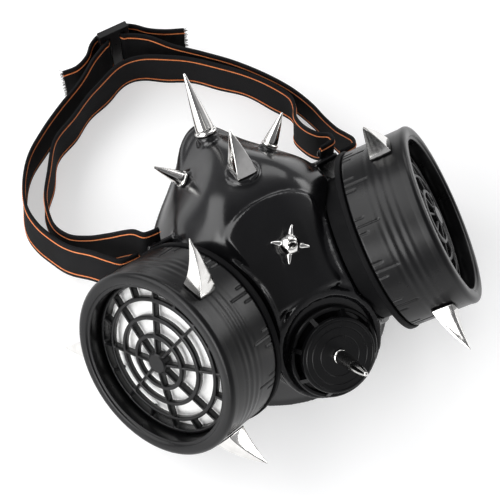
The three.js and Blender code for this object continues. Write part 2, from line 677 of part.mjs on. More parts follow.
// Bands of the strap: the middle line of a band, with its height, from its end on a peg
const ROUTE_INNER = [
  { x: -41.6, y: 53, z: 50 }, { x: -45, y: 53, z: 50 }, { x: -48.5, y: 53.8, z: 49.5 },
  { x: -51.5, y: 58.6, z: 47 }, { x: -55, y: 64, z: 40.5 }, { x: -60, y: 71, z: 31 },
  { x: -67, y: 79.5, z: 21 }, { x: -74, y: 89, z: 14.5 }, { x: -77.5, y: 99, z: 12.5 },
  { x: -75, y: 112, z: 12.5 }, { x: -67.5, y: 126, z: 12.5 }, { x: -56, y: 142, z: 12.5 },
  { x: -40, y: 151.5, z: 12.5 }, { x: -25, y: 160, z: 12.5 }, { x: -8, y: 167, z: 12.5 },
  { x: 6, y: 165.5, z: 12.5 }, { x: 20, y: 157.5, z: 12.5 }, { x: 33, y: 146, z: 12.5 },
  { x: 46, y: 131, z: 12.5 }, { x: 55, y: 118, z: 12.5 }, { x: 59, y: 106, z: 13 },
  { x: 56.5, y: 97, z: 16 }, { x: 51.5, y: 88, z: 22.5 }, { x: 48.5, y: 77, z: 31 },
  { x: 48.5, y: 66, z: 40 }, { x: 50.2, y: 58.5, z: 47 }, { x: 48.8, y: 53.8, z: 49.5 },
  { x: 45, y: 53, z: 50 }, { x: 41.6, y: 53, z: 50 },
];
const ROUTE_OUTER_LEFT = [
  { x: -53, y: 53, z: 37 }, { x: -57.5, y: 53, z: 37 }, { x: -61.5, y: 53.7, z: 36.5 },
  { x: -65.5, y: 58.5, z: 35 }, { x: -70, y: 66, z: 31.5 }, { x: -76, y: 78, z: 22 },
  { x: -80, y: 90, z: 14.5 }, { x: -83.5, y: 102, z: 12.5 }, { x: -84, y: 114, z: 12.5 },
  { x: -79.5, y: 127, z: 12.5 }, { x: -70, y: 140, z: 12.5 }, { x: -58, y: 149.5, z: 12.5 },
  { x: -44, y: 158, z: 12.5 }, { x: -28, y: 166, z: 13.5 }, { x: -17, y: 172.5, z: 16 },
];
const ROUTE_OUTER_RIGHT = [
  { x: 53, y: 53, z: 37 }, { x: 57.5, y: 53, z: 37 }, { x: 61.5, y: 53.7, z: 36 },
  { x: 64.5, y: 58.5, z: 32 }, { x: 66.3, y: 66.5, z: 24.5 }, { x: 67, y: 76, z: 17 },
  { x: 67, y: 86, z: 13 }, { x: 66, y: 96, z: 12.5 }, { x: 62.5, y: 108, z: 12.5 },
  { x: 55, y: 123.5, z: 12.5 }, { x: 45, y: 138, z: 12.5 }, { x: 34, y: 150.5, z: 12.5 },
  { x: 22, y: 162, z: 13.5 }, { x: 13, y: 171, z: 16 },
];
const BUCKLE = {
  middle: { x: -2, y: 180 }, bar: 2.6, slot: 4.2, thickness: 3.5, height: 33, end: 3.4, loop: 3.3,
  level: 16.5,
};
const FREE_ENDS = {
  left: [
    { x: -14, y: 181, z: 16 }, { x: -19, y: 176.5, z: 14.5 }, { x: -26, y: 174.2, z: 13 },
    { x: -33.5, y: 175, z: 12.5 },
  ],
  right: [
    { x: 10, y: 180.5, z: 16 }, { x: 15.5, y: 176, z: 14.5 }, { x: 23, y: 172, z: 13 },
    { x: 32, y: 168, z: 12.5 },
  ],
};

// A band turns back round a bar of the buckle
function loopRound(sign) {
  const barX = BUCKLE.middle.x + sign * (BUCKLE.slot + BUCKLE.bar);
  const points = [];
  for (const share of [-0.5, -0.25, 0, 0.25, 0.5]) {
    const turn = share * Math.PI;
    points.push({
      x: barX - sign * BUCKLE.loop * Math.cos(turn), y: BUCKLE.middle.y + BUCKLE.loop * Math.sin(turn),
      z: BUCKLE.level,
    });
  }
  return points;
}

// Band standing on edge along a route. Over its free stretch its lower edge stands out from the loop
function band(route, freePoints, lean) {
  const steps = (route.length - 1) * STRAP_STEPS;
  const freeSteps = (freePoints - 1) * STRAP_STEPS;
  const points = route.map(({ x, y, z }) => new THREE.Vector3(x, y, z));
  const curve = new THREE.CatmullRomCurve3(points, false, 'centripetal');
  const rings = [];
  for (let i = 0; i <= steps; i += 1) {
    const middle = curve.getPoint(i / steps);
    const along = curve.getTangent(i / steps).setZ(0).normalize();
    const across = new THREE.Vector3(along.y, -along.x, 0);
    const out = across.clone().multiplyScalar(STRAP_THICKNESS / 2);
    const drawnIn = lean * Math.sin(Math.PI * Math.min(i / freeSteps, 1));
    const up = new THREE.Vector3(0, 0, STRAP_WIDTH / 2).addScaledVector(across, drawnIn);
    rings.push([[1, -1], [1, 1], [-1, 1], [-1, -1]].map(([side, level]) => middle.clone()
      .addScaledVector(out, side).addScaledVector(up, level)));
  }
  const centre = (ring) => ring.reduce((sum, p) => sum.add(p), new THREE.Vector3()).multiplyScalar(0.25);
  return skinned(rings, centre(rings[0]), centre(rings[steps]));
}

function pierced(geometry, places) {
  const drill = disc(PEG.hole, LUG.frontY, PEG.tip, PEG.steps).rotateX(-Math.PI / 2);
  const holes = places.map(({ x, z }) => solid(drill.clone().translate(x, 0, z)));
  return fromSolid(holes.reduce((rest, cut) => rest.subtract(cut), solid(geometry)));
}

function strapBuckle() {
  const length = 3 * BUCKLE.bar + 2 * BUCKLE.slot;
  const plate = new THREE.BoxGeometry(length, BUCKLE.thickness, BUCKLE.height);
  let body = solid(plate);
  for (const side of [-1, 1]) {
    const slot = new THREE.BoxGeometry(BUCKLE.slot, BUCKLE.thickness * 2, BUCKLE.height - 2 * BUCKLE.end);
    body = body.subtract(solid(slot.translate((side * (BUCKLE.slot + BUCKLE.bar)) / 2, 0, 0)));
  }
  return fromSolid(body).translate(BUCKLE.middle.x, BUCKLE.middle.y, BUCKLE.height / 2);
}

function strap() {
  const group = new THREE.Group();
  const { upper, lower } = PEGS;
  const inner = band(ROUTE_INNER, ROUTE_INNER.length, STRAP_LEAN);
  const innerPegs = SIDES.map(({ sign }) => ({ x: upper.x * sign, z: upper.z }));
  group.add(node('strap_inner', pierced(inner, innerPegs), 'strap'));
  const leftRoute = [...ROUTE_OUTER_LEFT, ...loopRound(-1), ...FREE_ENDS.left];
  const outerLeft = band(leftRoute, ROUTE_OUTER_LEFT.length, STRAP_LEAN);
  group.add(node('strap_outer_left', pierced(outerLeft, [{ x: -lower.x, z: lower.z }]), 'strap'));
  const rightRoute = [...ROUTE_OUTER_RIGHT, ...loopRound(1), ...FREE_ENDS.right];
  const outerRight = band(rightRoute, ROUTE_OUTER_RIGHT.length, -STRAP_LEAN);
  group.add(node('strap_outer_right', pierced(outerRight, [{ x: lower.x, z: lower.z }]), 'strap'));
  group.add(node('strap_buckle', strapBuckle(), 'satin'));
  return group;
}

// The whole mask
const mask = new THREE.Group();
mask.add(node('mask_shell', maskShell(), 'gloss'));
mask.add(node('valve_cover', atValve(valveCover()), 'satin'));
const valveSpikeFoot = VALVE_FRONT.clone().addScaledVector(VALVE_DIRECTION, GAP);
const valveSpike = placed(coneSpike(VALVE_CONE), VALVE_DIRECTION, ACROSS, valveSpikeFoot);
mask.add(node('valve_spike', valveSpike, 'chrome'));
for (const { name, foot, toward } of SHELL_SPIKES) {
  mask.add(node(name, placed(SPIKE_SHAPES[name](), vector(toward), ACROSS, vector(foot)), 'chrome'));
}
for (const side of SIDES) mask.add(canister(side));
mask.add(strap());

// Origin under the middle of the box, on the surface that the mask lies on
const part = new THREE.Group();
part.add(mask);
mask.updateMatrixWorld(true);
const box = new THREE.Box3().setFromObject(mask, true);
mask.position.set(-(box.min.x + box.max.x) / 2, -(box.min.y + box.max.y) / 2, -box.min.z);

export default part;
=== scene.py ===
import math
from types import SimpleNamespace as Sizes

import bmesh
import bpy
import numpy as np
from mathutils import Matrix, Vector


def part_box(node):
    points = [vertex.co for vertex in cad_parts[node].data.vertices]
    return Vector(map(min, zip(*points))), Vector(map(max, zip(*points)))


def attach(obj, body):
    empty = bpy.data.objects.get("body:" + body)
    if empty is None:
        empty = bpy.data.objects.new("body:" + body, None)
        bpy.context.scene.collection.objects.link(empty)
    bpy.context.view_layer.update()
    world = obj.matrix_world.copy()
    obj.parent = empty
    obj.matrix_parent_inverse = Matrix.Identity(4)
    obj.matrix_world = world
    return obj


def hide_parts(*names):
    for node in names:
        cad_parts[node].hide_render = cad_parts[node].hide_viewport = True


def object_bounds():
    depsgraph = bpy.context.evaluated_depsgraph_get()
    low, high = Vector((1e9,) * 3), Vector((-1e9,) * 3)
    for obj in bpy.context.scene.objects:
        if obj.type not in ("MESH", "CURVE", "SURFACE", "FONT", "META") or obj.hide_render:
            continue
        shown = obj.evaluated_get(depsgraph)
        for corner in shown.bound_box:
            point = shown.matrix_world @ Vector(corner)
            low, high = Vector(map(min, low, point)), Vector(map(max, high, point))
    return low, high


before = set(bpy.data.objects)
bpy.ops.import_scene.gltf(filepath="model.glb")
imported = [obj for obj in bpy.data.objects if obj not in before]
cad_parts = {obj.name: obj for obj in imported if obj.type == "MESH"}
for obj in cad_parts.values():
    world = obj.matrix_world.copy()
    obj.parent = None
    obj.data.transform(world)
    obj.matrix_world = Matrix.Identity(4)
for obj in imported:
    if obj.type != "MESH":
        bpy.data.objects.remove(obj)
cad_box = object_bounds()

# The mask's own frame
# Sizes are in millimetres in the frame that the mask is drawn in: X across the face, Y to the nose, Z up.
# The slide buckle's place in it is known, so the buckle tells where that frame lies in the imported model.
MM = 0.001
BUCKLE_MIDDLE = (-2.0, 180.0)
buckle_low, buckle_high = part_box("strap_buckle")
mask_origin = np.array([
    (buckle_low.x + buckle_high.x) / 2 - BUCKLE_MIDDLE[0] * MM,
    (buckle_low.y + buckle_high.y) / 2 - BUCKLE_MIDDLE[1] * MM,
    buckle_low.z,
])


def in_frame(points):
    return np.asarray(points, float) * MM + mask_origin


# Studio
# The mask lies on a pale floor. The camera stands over the chin, a little to its right hand side, and
# large soft panels light the mask from behind the nose and from both sides.
CAMERA_PLACE = (-139.3, -194.5, 545.1)
CAMERA_AIM = (0.2325, 0.4004, -0.8863)
CAMERA_LENS = 90.89
FLOOR_HALF = 3.0
FLOOR_LIGHT = (0.6, 0.6, 0.6, 1.0)
FLOOR_DARK = (0.56, 0.56, 0.565, 1.0)
FLOOR_WHITE = (1.0, 1.0, 1.0, 1.0)
FLOOR_GLOW = 0.5
ROOM_GLOW = (0.42, 0.42, 0.43, 1.0)
ROOM_DARK = (0.17, 0.17, 0.175, 1.0)
DARK_TOWARD = (-0.1, -0.35, 0.93)
DARK_EDGES = (0.55, 0.85)
AIMED_AT = Vector((0.0, 0.0, 0.04))
NOISE_SPAN = {"From Min": 0.3, "From Max": 0.7}
PANELS = [
    {"name": "panel_back_left", "place": (-0.85, 0.6, 1.0), "size": (1.5, 1.2), "glow": 3.0},
    {"name": "panel_back_right", "place": (0.75, 1.0, 1.1), "size": (0.9, 0.7), "glow": 2.6},
    {"name": "panel_left", "place": (-1.2, -0.45, 0.6), "size": (0.9, 0.9), "glow": 6.0},
    {"name": "panel_right", "place": (1.3, 0.05, 0.5), "size": (0.8, 0.6), "glow": 4.0},
]

scene = bpy.context.scene
scene.view_settings.view_transform = "Standard"
camera = bpy.data.objects.new("camera", bpy.data.cameras.new("camera"))
camera.data.lens = CAMERA_LENS
camera.location = in_frame(CAMERA_PLACE)
camera.rotation_mode = "QUATERNION"
camera.rotation_quaternion = Vector(CAMERA_AIM).to_track_quat("-Z", "Y")
scene.collection.objects.link(camera)
scene.camera = camera

for panel in PANELS:
    width, height = panel["size"]
    light = bpy.data.lights.new(panel["name"], "AREA")
    light.shape = "RECTANGLE"
    light.size = width
    light.size_y = height
    light.energy = panel["glow"] * math.pi * width * height
    lamp = bpy.data.objects.new(panel["name"], light)
    lamp.location = panel["place"]
    lamp.rotation_mode = "QUATERNION"
    lamp.rotation_quaternion = (AIMED_AT - lamp.location).to_track_quat("-Z", "Y")
    scene.collection.objects.link(lamp)


def tree_of(holder):
    """The nodes of a material or world, or a tree itself."""
    return getattr(holder, "node_tree", holder)


def feed(holder, node, inputs):
    """Sets a node's inputs to values, or links them to other nodes' outputs."""
    for name, value in inputs.items():
        if isinstance(value, bpy.types.NodeSocket):
            tree_of(holder).links.new(value, node.inputs[name])
        else:
            node.inputs[name].default_value = value


def add_node(holder, kind, inputs=None, **properties):
    """Adds a node and gives its outputs."""
    added = tree_of(holder).nodes.new(kind)
    for name, value in properties.items():
        setattr(added, name, value)
    feed(holder, added, inputs or {})
    return added.outputs


def add_ramp(holder, value, low, low_colour, high, high_colour, blend="LINEAR"):
    """Two colours with a blend between two places on a scale from 0 to 1."""
    mixed = add_node(holder, "ShaderNodeValToRGB", {"Fac": value})["Color"]
    ramp = mixed.node.color_ramp
    ramp.interpolation = blend
    for element, place, colour in zip(ramp.elements, (low, high), (low_colour, high_colour)):
        element.position = place
        element.color = colour
    return mixed


room = bpy.data.worlds.new("room")
room.use_nodes = True
room_ways = {0: add_node(room, "ShaderNodeTexCoord")["Generated"], 1: Vector(DARK_TOWARD).normalized()}
room_dot = add_node(room, "ShaderNodeVectorMath", room_ways, operation="DOT_PRODUCT")["Value"]
room_colour = add_ramp(room, room_dot, DARK_EDGES[0], ROOM_GLOW, DARK_EDGES[1], ROOM_DARK, "EASE")
feed(room, room.node_tree.nodes["Background"], {"Color": room_colour})
scene.world = room


def shade(made, inputs):
    """Feeds a material's shader, and gives all its inputs."""
    shader = made.node_tree.nodes["Principled BSDF"]
    feed(made, shader, inputs)
    return shader.inputs


def new_material(name, settings):
    made = bpy.data.materials.new(name)
    made.use_nodes = True
    shade(made, settings)
    return made


def add_noise(made, scale, detail=3.0):
    """Noise on the piece's own coordinates; the scale is in features a metre."""
    place = add_node(made, "ShaderNodeTexCoord")["Object"]
    return add_node(made, "ShaderNodeTexNoise", {"Vector": place, "Scale": scale, "Detail": detail})["Fac"]


def vary_colour(made, scale, dark, light):
    low, high = NOISE_SPAN.values()
    shade(made, {"Base Color": add_ramp(made, add_noise(made, scale), low, dark, high, light)})


def raise_by(made, height, depth_mm):
    """Raises the surface; a second call adds a finer layer on top of the first."""
    bump = {"Height": height, "Strength": 1.0, "Distance": depth_mm * MM}
    for below in shade(made, {})["Normal"].links:
        bump["Normal"] = below.from_socket
    shade(made, {"Normal": add_node(made, "ShaderNodeBump", bump)["Normal"]})


def add_bump(made, scale, depth_mm, detail=3.0):
    raise_by(made, add_noise(made, scale, detail), depth_mm)


def new_piece(name, shapes, smooth=True):
    """Mesh object from shapes of points (mask frame, mm) and faces, with its faces pointing outwards."""
    points, faces = [], []
    count = 0
    for shape_points, shape_faces in shapes:
        points.append(np.asarray(shape_points, float))
        faces.extend([[int(i) + count for i in face] for face in shape_faces])
        count += len(shape_points)
    mesh = bpy.data.meshes.new(name)
    mesh.from_pydata(in_frame(np.concatenate(points)).tolist(), [], faces)
    shell = bmesh.new()
    shell.from_mesh(mesh)
    bmesh.ops.recalc_face_normals(shell, faces=shell.faces)
    shell.to_mesh(mesh)
    shell.free()
    if smooth:
        mesh.shade_smooth()
    piece = bpy.data.objects.new(name, mesh)
    scene.collection.objects.link(piece)
    return piece


SQUARE = np.array([(-1, -1), (1, -1), (1, 1), (-1, 1)])
floor_level = (cad_box[0].z - mask_origin[2]) / MM
floor_points = [(x * FLOOR_HALF / MM, y * FLOOR_HALF / MM, floor_level) for x, y in SQUARE]
floor = new_piece("floor", [(floor_points, [[0, 1, 2, 3]])])
floor_paper = new_material("floor_paper", {
    "Roughness": 0.75, "Emission Color": FLOOR_WHITE, "Emission Strength": FLOOR_GLOW,
})
vary_colour(floor_paper, scale=9.0, dark=FLOOR_DARK, light=FLOOR_LIGHT)
add_bump(floor_paper, scale=900.0, depth_mm=0.02)
floor.data.materials.append(floor_paper)

# Mask shell
# One hollow half mask moulded in glossy black soft plastic: nose, arched front block, cup for the valve,
# a flat seat on each side for a canister, and side lugs with pegs that the strap buttons onto.
FRONT = {
    "y": [-12, 0, 15, 30, 41, 51, 62, 74, 84, 95],
    "height": [54.0, 60.0, 67.0, 74.0, 77.0, 76.3, 73.0, 68.0, 63.3, 57.0],
    "panel": [14.0, 17.0, 20.0, 20.0, 18.5, 15.5, 9.5, 3.0, 0.0, 0.0],
}
PLAN = {
    "angle": [-90, -63, -45, -20, 10, 27, 45, 60, 74, 82, 90],
    "rim": [55.5, 55.0, 55.0, 56.0, 55.0, 56.0, 57.0, 57.5, 61.0, 68.0, 72.0],
    "lift": [0, 0, 0, 0, 2, 13, 29, 38, 45, 49, 51],
    "shoulder": [33.0, 36.0, 32.0, 27.0, 35.0, 40.0, 44.5, 48.5, 56.5, 61.5, 65.0],
    "bulge": [0.12, 0.14, 0.06, 0.0, 0.0, 0.0, 0.03, 0.08, 0.16, 0.22, 0.25],
}
GAP = 0.3
SHELL_WALL = 2.6
SIDE_FALL = 0.9
CREASE_SOFTNESS = 4.0
FRONT_EASE = 4.0
PLAN_EASE = 3.0
EASE_STEPS = 7
PLAN_MIDDLE_Y = 25.0
SWELL_UP = 0.6
RIM_ROLL = 1.2
RIM_ROLL_HEIGHT = 2.5
SHELL_STEPS = 300
WALL_STEPS = 48
TOP_STEPS = 40
SHOULDER_ROUNDING = 14
SHARP_RINGS = 4
SHELL_SKIRT = 12.0
SHELL_VOXEL = 0.6
SHELL_SMOOTHING = 14
SHELL_KEPT = 0.5
BLOCK = Sizes(low_y=-7.0, low_half=15.5, spring_y=28.0, spring_half=21.5, arch_rise=7.5, face_low=60.2,
              face_slope=0.447, crown=0.009, edge=1.6, depth=9.0, flare=1.04, arch_steps=60, side_steps=26,
              low_steps=30, edge_steps=7)
BLOCK_SHARES = (0.75, 0.5, 0.25)
LUG = Sizes(back_y=49.0, front_y=51.6, inner_x=30.0, outer_x=49.0, lower_x=61.5, low=32.0, step=42.0,
            slope_end=46.0, high=55.0)
PEG = Sizes(radius=2.2, head=3.0, neck=54.6, bevel=0.8, tip=57.4)
PEG_PLACES = [(45.0, 50.0), (57.5, 37.0)]
RIM_CENTRE = np.array([73.8, 0.0, 54.4])
CANISTER_AXIS = np.array([0.848, -0.279, 0.451]) / np.linalg.norm([0.848, -0.279, 0.451])
CANISTER_DEPTH = 33.4
COLLAR_RADIUS = 34.0
COLLAR_LENGTH = 9.3
FLANGE_RADIUS = 43.0
PORT_RADIUS = 14.0
SEAT_BOSS = Sizes(radius=36.0, depth=13.0)
SEAT_ROOM = 0.7
ABOVE_RIM = 4.0
FLOOR_CUT = {"radius": 200.0, "low": -30.0, "high": 0.0}
CUT_THROUGH = 30.0
VALVE_TILT = math.radians(45)
VALVE_FRONT = np.array([0.0, -31.5, 43.0])
VALVE_AXIS = np.array([0.0, -math.sin(VALVE_TILT), math.cos(VALVE_TILT)])
VALVE_BACK = -8.0
VALVE_CUP = Sizes(radius=21.8, depth=26.0, airway=12.0, clear_radius=21.8, clear_height=14.0)
HOOD = Sizes(radius=25.2, shift=3.5, low=-24.0, level=-7.0, slope=0.06)
SPIKE_FEET = {
    "nose_cone_spike": {"foot": (0.0, 85.0, 62.9), "toward": (0.0, 0.62, 0.78), "seat": 5.6},
    "side_cone_spike_left": {"foot": (-18.9, 72.5, 55.9), "toward": (-0.66, 0.42, 0.62), "seat": 4.4},
    "side_cone_spike_right": {"foot": (22.0, 66.2, 60.1), "toward": (0.66, 0.42, 0.62), "seat": 4.4},
    "nose_claw_spike": {"foot": (0.3, 52.5, 77.0), "toward": (0.0, 0.26, 0.97), "seat": 7.3},
    "star_stud": {"foot": (0.0, 14.0, 69.7), "toward": (0.0, -0.408, 0.913), "seat": 4.6},
}
SEAT_DEPTH = 7.0
SEAT_CLEARANCE = 6.0
ROUND_STEPS = 96
SMALL_STEPS = 40
UP = np.array([0.0, 0.0, 1.0])
ACROSS = np.array([1.0, 0.0, 0.0])
SIDES = [("left", -1), ("right", 1)]
GLOSS_DARK = (0.0045, 0.0045, 0.005, 1.0)
GLOSS_LIGHT = (0.0075, 0.0075, 0.0085, 1.0)


def smooth_between(keys, values, at):
    """Values between the rows of a table, on a smooth curve that never overshoots them."""
    keys = np.array(keys, float)
    values = np.array(values, float)
    rises = np.diff(values) / np.diff(keys)
    slopes = np.zeros(len(keys))
    inner = np.where(rises[:-1] * rises[1:] > 0, rises[:-1] * rises[1:], 0)
    slopes[1:-1] = np.where(inner > 0, 2 * inner / np.where(inner > 0, rises[:-1] + rises[1:], 1), 0)
    at = np.clip(at, keys[0], keys[-1])
    i = np.clip(np.searchsorted(keys, at, side="right") - 1, 0, len(keys) - 2)
    step = keys[i + 1] - keys[i]
    t = (at - keys[i]) / step
    rest = 1 - t
    start = values[i] * (1 + 2 * t) * rest ** 2 + slopes[i] * step * t * rest ** 2
    return start + values[i + 1] * t ** 2 * (3 - 2 * t) - slopes[i + 1] * step * t ** 2 * rest


def eased(keys, values, at, reach):
    """The same curve, averaged over a short reach so that its bends are soft."""
    shifts = np.linspace(-reach, reach, EASE_STEPS)
    return np.mean([smooth_between(keys, values, at + shift) for shift in shifts], axis=0)


def front_height(x, y):
    past = np.abs(x) - eased(FRONT["y"], FRONT["panel"], y, FRONT_EASE)
    fall = SIDE_FALL * 0.5 * (past + np.hypot(past, CREASE_SOFTNESS))
    return eased(FRONT["y"], FRONT["height"], y, FRONT_EASE) - fall


def bridged(rings, ends_meet):
    """Faces between neighbouring closed rings of points."""
    count, across = rings.shape[:2]
    j = np.arange(across)
    following = (j + 1) % across
    faces = []
    for i in range(count if ends_meet else count - 1):
        low, high = i * across, ((i + 1) % count) * across
        faces.extend(np.stack([low + j, low + following, high + following, high + j], axis=1).tolist())
    return faces


def looped(rings):
    """Skin over closed rings of points, the last of which joins the first."""
    return rings.reshape(-1, 3), bridged(rings, True)


def capped(rings, start, end):
    """Skin over closed rings of points, with a fan to one point at either end."""
    count, across = rings.shape[:2]
    j = np.arange(across)
    following = (j + 1) % across
    first, last = count * across, count * across + 1
    top = (count - 1) * across
    faces = bridged(rings, False)
    faces.extend(np.stack([np.full(across, first), following, j], axis=1).tolist())
    faces.extend(np.stack([top + j, top + following, np.full(across, last)], axis=1).tolist())
    return np.concatenate([rings.reshape(-1, 3), [start], [end]]), faces


def closed(rings):
    """Skin over closed rings of points, with flat ends."""
    rings = np.array(rings)
    return capped(rings, rings[0].mean(axis=0), rings[-1].mean(axis=0))


def turned(profile, steps=ROUND_STEPS):
    """Round shape about Z. The profile of radius and height ends on the axis or closes on itself."""
    profile = np.array(profile, float)
    on_axis = profile[0][0] == 0
    rows = profile[1:-1] if on_axis else profile[:-1]
    turn = np.linspace(0, 2 * math.pi, steps, endpoint=False)
    rings = np.stack([
        np.outer(rows[:, 0], np.cos(turn)),
        np.outer(rows[:, 0], np.sin(turn)),
        np.repeat(rows[:, 1:2], steps, axis=1),
    ], axis=2)
    if on_axis:
        return capped(rings, (0, 0, profile[0][1]), (0, 0, profile[-1][1]))
    return looped(rings)


def disc(radius, low, high, steps=ROUND_STEPS):
    return turned([(0, low), (radius, low), (radius, high), (0, high)], steps)


def placed(shape, direction, sideways, position):
    """Turns a shape so that its Z runs along a direction and its X lies near to another, and moves it."""
    z = np.array(direction, float) / np.linalg.norm(direction)
    x = np.array(sideways, float) - np.dot(sideways, z) * z
    x = x / np.linalg.norm(x)
    y = np.cross(z, x)
    points, faces = shape
    return points @ np.array([x, y, z]) + np.array(position, float), faces


def at_canister(shape, sign):
    """From a canister's frame, with its origin in the middle of the front rim and Z outwards."""
    mirror = np.array([sign, 1, 1])
    return placed(shape, CANISTER_AXIS * mirror, UP, RIM_CENTRE * mirror)


def at_valve(shape):
    return placed(shape, VALVE_AXIS, ACROSS, VALVE_FRONT)


def on_foot(shape, spike):
    return placed(shape, spike["toward"], ACROSS, spike["foot"])


def at_peg(shape, place, sign):
    return placed(shape, (0, 1, 0), ACROSS, (place[0] * sign, 0, place[1]))


def made_plain(piece):
    """Replaces a piece's mesh by the one that its modifiers give, and removes the modifiers."""
    mesh = bpy.data.meshes.new_from_object(piece.evaluated_get(bpy.context.evaluated_depsgraph_get()))
    piece.modifiers.clear()
    piece.data = mesh
    return piece


def carve(piece, joins, cuts):
    """Joins some shapes or pieces to a piece, then cuts others out of it."""
    tools = []
    for operation, shapes in (("UNION", joins), ("DIFFERENCE", cuts)):
        for shape in shapes:
            tool = shape if isinstance(shape, bpy.types.Object) else new_piece("tool", [shape])
            boolean = piece.modifiers.new("carve", "BOOLEAN")
            boolean.operation = operation
            boolean.solver = "MANIFOLD"
            boolean.object = tool
            tools.append(tool)
    made_plain(piece)
    for tool in tools:
        bpy.data.objects.remove(tool)
    return piece


def dress(piece, finish, slot, *nodes):
    """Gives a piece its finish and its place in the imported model."""
    piece.data.materials.clear()
    piece.data.materials.append(finish)
    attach(piece, "root")
    if nodes:
        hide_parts(*nodes)
    return piece


def vary_roughness(made, scale, smooth, rough):
    spread = {"Value": add_noise(made, scale), **NOISE_SPAN, "To Min": smooth, "To Max": rough}
    shade(made, {"Roughness": add_node(made, "ShaderNodeMapRange", spread)["Result"]})


def plan_points(angles, radius, height):
    turn = np.radians(angles)
    return np.stack([radius * np.cos(turn), PLAN_MIDDLE_Y + radius * np.sin(turn), height], axis=-1)


def dome(inset, skirt):
    """Closed dome from the rim over the shoulder to the crown, drawn in by an inset."""
    angles = np.linspace(-90, 270, SHELL_STEPS, endpoint=False)
    folded = np.where(angles > 90, 180 - angles, angles)
    row = {name: eased(PLAN["angle"], values, folded, PLAN_EASE) for name, values in PLAN.items()}
    rim = row["rim"] - inset
    shoulder = row["shoulder"] - inset
    edge = plan_points(angles, shoulder, np.zeros(SHELL_STEPS))
    top = front_height(edge[:, 0], edge[:, 1]) - inset
    rings = []
    for t in np.linspace(0, 1, WALL_STEPS):
        swell = 4 * t * (1 - t) * row["bulge"]
        radius = rim + (shoulder - rim) * t + swell * (rim - shoulder)
        height = row["lift"] + (top - row["lift"]) * t + swell * (top - row["lift"]) * SWELL_UP
        if not skirt:
            radius = radius + RIM_ROLL * np.exp(-((height - row["lift"]) / RIM_ROLL_HEIGHT) ** 2)
        rings.append(plan_points(angles, radius, height))
    for share in np.linspace(1, 0, TOP_STEPS, endpoint=False)[1:]:
        flat = plan_points(angles, shoulder * share, np.zeros(SHELL_STEPS))
        rings.append(plan_points(angles, shoulder * share, front_height(flat[:, 0], flat[:, 1]) - inset))
    rings = np.array(rings)
    for _ in range(SHOULDER_ROUNDING):
        before = rings[SHARP_RINGS - 1:-SHARP_RINGS - 1]
        after = rings[SHARP_RINGS + 1:-SHARP_RINGS + 1]
        rings[SHARP_RINGS:-SHARP_RINGS] = 0.5 * rings[SHARP_RINGS:-SHARP_RINGS] + 0.25 * (before + after)
    if skirt:
        rings = np.concatenate([plan_points(angles, rim, np.full(SHELL_STEPS, -skirt))[None], rings])
    crown = (0, PLAN_MIDDLE_Y, float(front_height(0.0, PLAN_MIDDLE_Y)) - inset)
    return capped(rings, (0, PLAN_MIDDLE_Y, -skirt), crown)


def block_height(x, y):
    return BLOCK.face_low + (y - BLOCK.low_y) * BLOCK.face_slope - BLOCK.crown * x * x


def front_block():
    """Raised block with straight sides, an arched top and a rounded edge."""
    arch = np.linspace(0, math.pi, BLOCK.arch_steps)
    side = np.linspace(0, 1, BLOCK.side_steps)[1:]
    half = BLOCK.spring_half + (BLOCK.low_half - BLOCK.spring_half) * side
    level = BLOCK.spring_y + (BLOCK.low_y - BLOCK.spring_y) * side
    along = np.linspace(-1, 1, BLOCK.low_steps)[1:-1] * BLOCK.low_half
    outline = np.concatenate([
        np.stack([BLOCK.spring_half * np.cos(arch), BLOCK.spring_y + BLOCK.arch_rise * np.sin(arch)], axis=1),
        np.stack([-half, level], axis=1),
        np.stack([along, np.full(len(along), BLOCK.low_y)], axis=1),
        np.stack([half, level], axis=1)[::-1],
    ])
    middle = np.array([0, (BLOCK.low_y + BLOCK.spring_y) / 2])
    turn = np.linspace(0, math.pi / 2, BLOCK.edge_steps)
    inward = BLOCK.edge / BLOCK.spring_half
    layers = [(BLOCK.flare, BLOCK.depth)]
    layers += list(zip(1 - inward * (1 - np.cos(turn)), BLOCK.edge * (1 - np.sin(turn))))
    layers += [(share, 0.0) for share in BLOCK_SHARES]
    rings = []
    for share, drop in layers:
        flat = middle + (outline - middle) * share
        height = block_height(flat[:, 0], flat[:, 1]) - drop
        rings.append(np.column_stack([flat, height]))
    crown = block_height(0, middle[1])
    return capped(np.array(rings), (0, middle[1], crown - BLOCK.depth), (0, middle[1], crown))


def valve_hood():
    """Wall with a sloping top round the upper half of the valve, set a little towards the block."""
    turn = np.linspace(0, 2 * math.pi, ROUND_STEPS, endpoint=False)
    x = HOOD.radius * np.cos(turn)
    y = HOOD.shift + HOOD.radius * np.sin(turn)
    top = HOOD.level + HOOD.slope * y
    return closed([np.stack([x, y, level], axis=1) for level in (np.full(ROUND_STEPS, HOOD.low), top)])


def lug_plate(sign):
    outline = [
        (LUG.inner_x, LUG.low), (LUG.lower_x, LUG.low), (LUG.lower_x, LUG.step),
        (LUG.outer_x, LUG.slope_end), (LUG.outer_x, LUG.high), (LUG.inner_x, LUG.high),
    ]
    return closed([[(x * sign, y, z) for x, z in outline] for y in (LUG.back_y, LUG.front_y)])


def peg(place, sign):
    shape = turned([
        (0, LUG.back_y), (PEG.radius, LUG.back_y), (PEG.radius, PEG.neck),
        (PEG.head, PEG.neck + PEG.bevel), (PEG.head, PEG.tip), (0, PEG.tip),
    ], SMALL_STEPS)
    return at_peg(shape, place, sign)


cup_top = VALVE_BACK - GAP
seat_level = -(CANISTER_DEPTH + COLLAR_LENGTH) - GAP


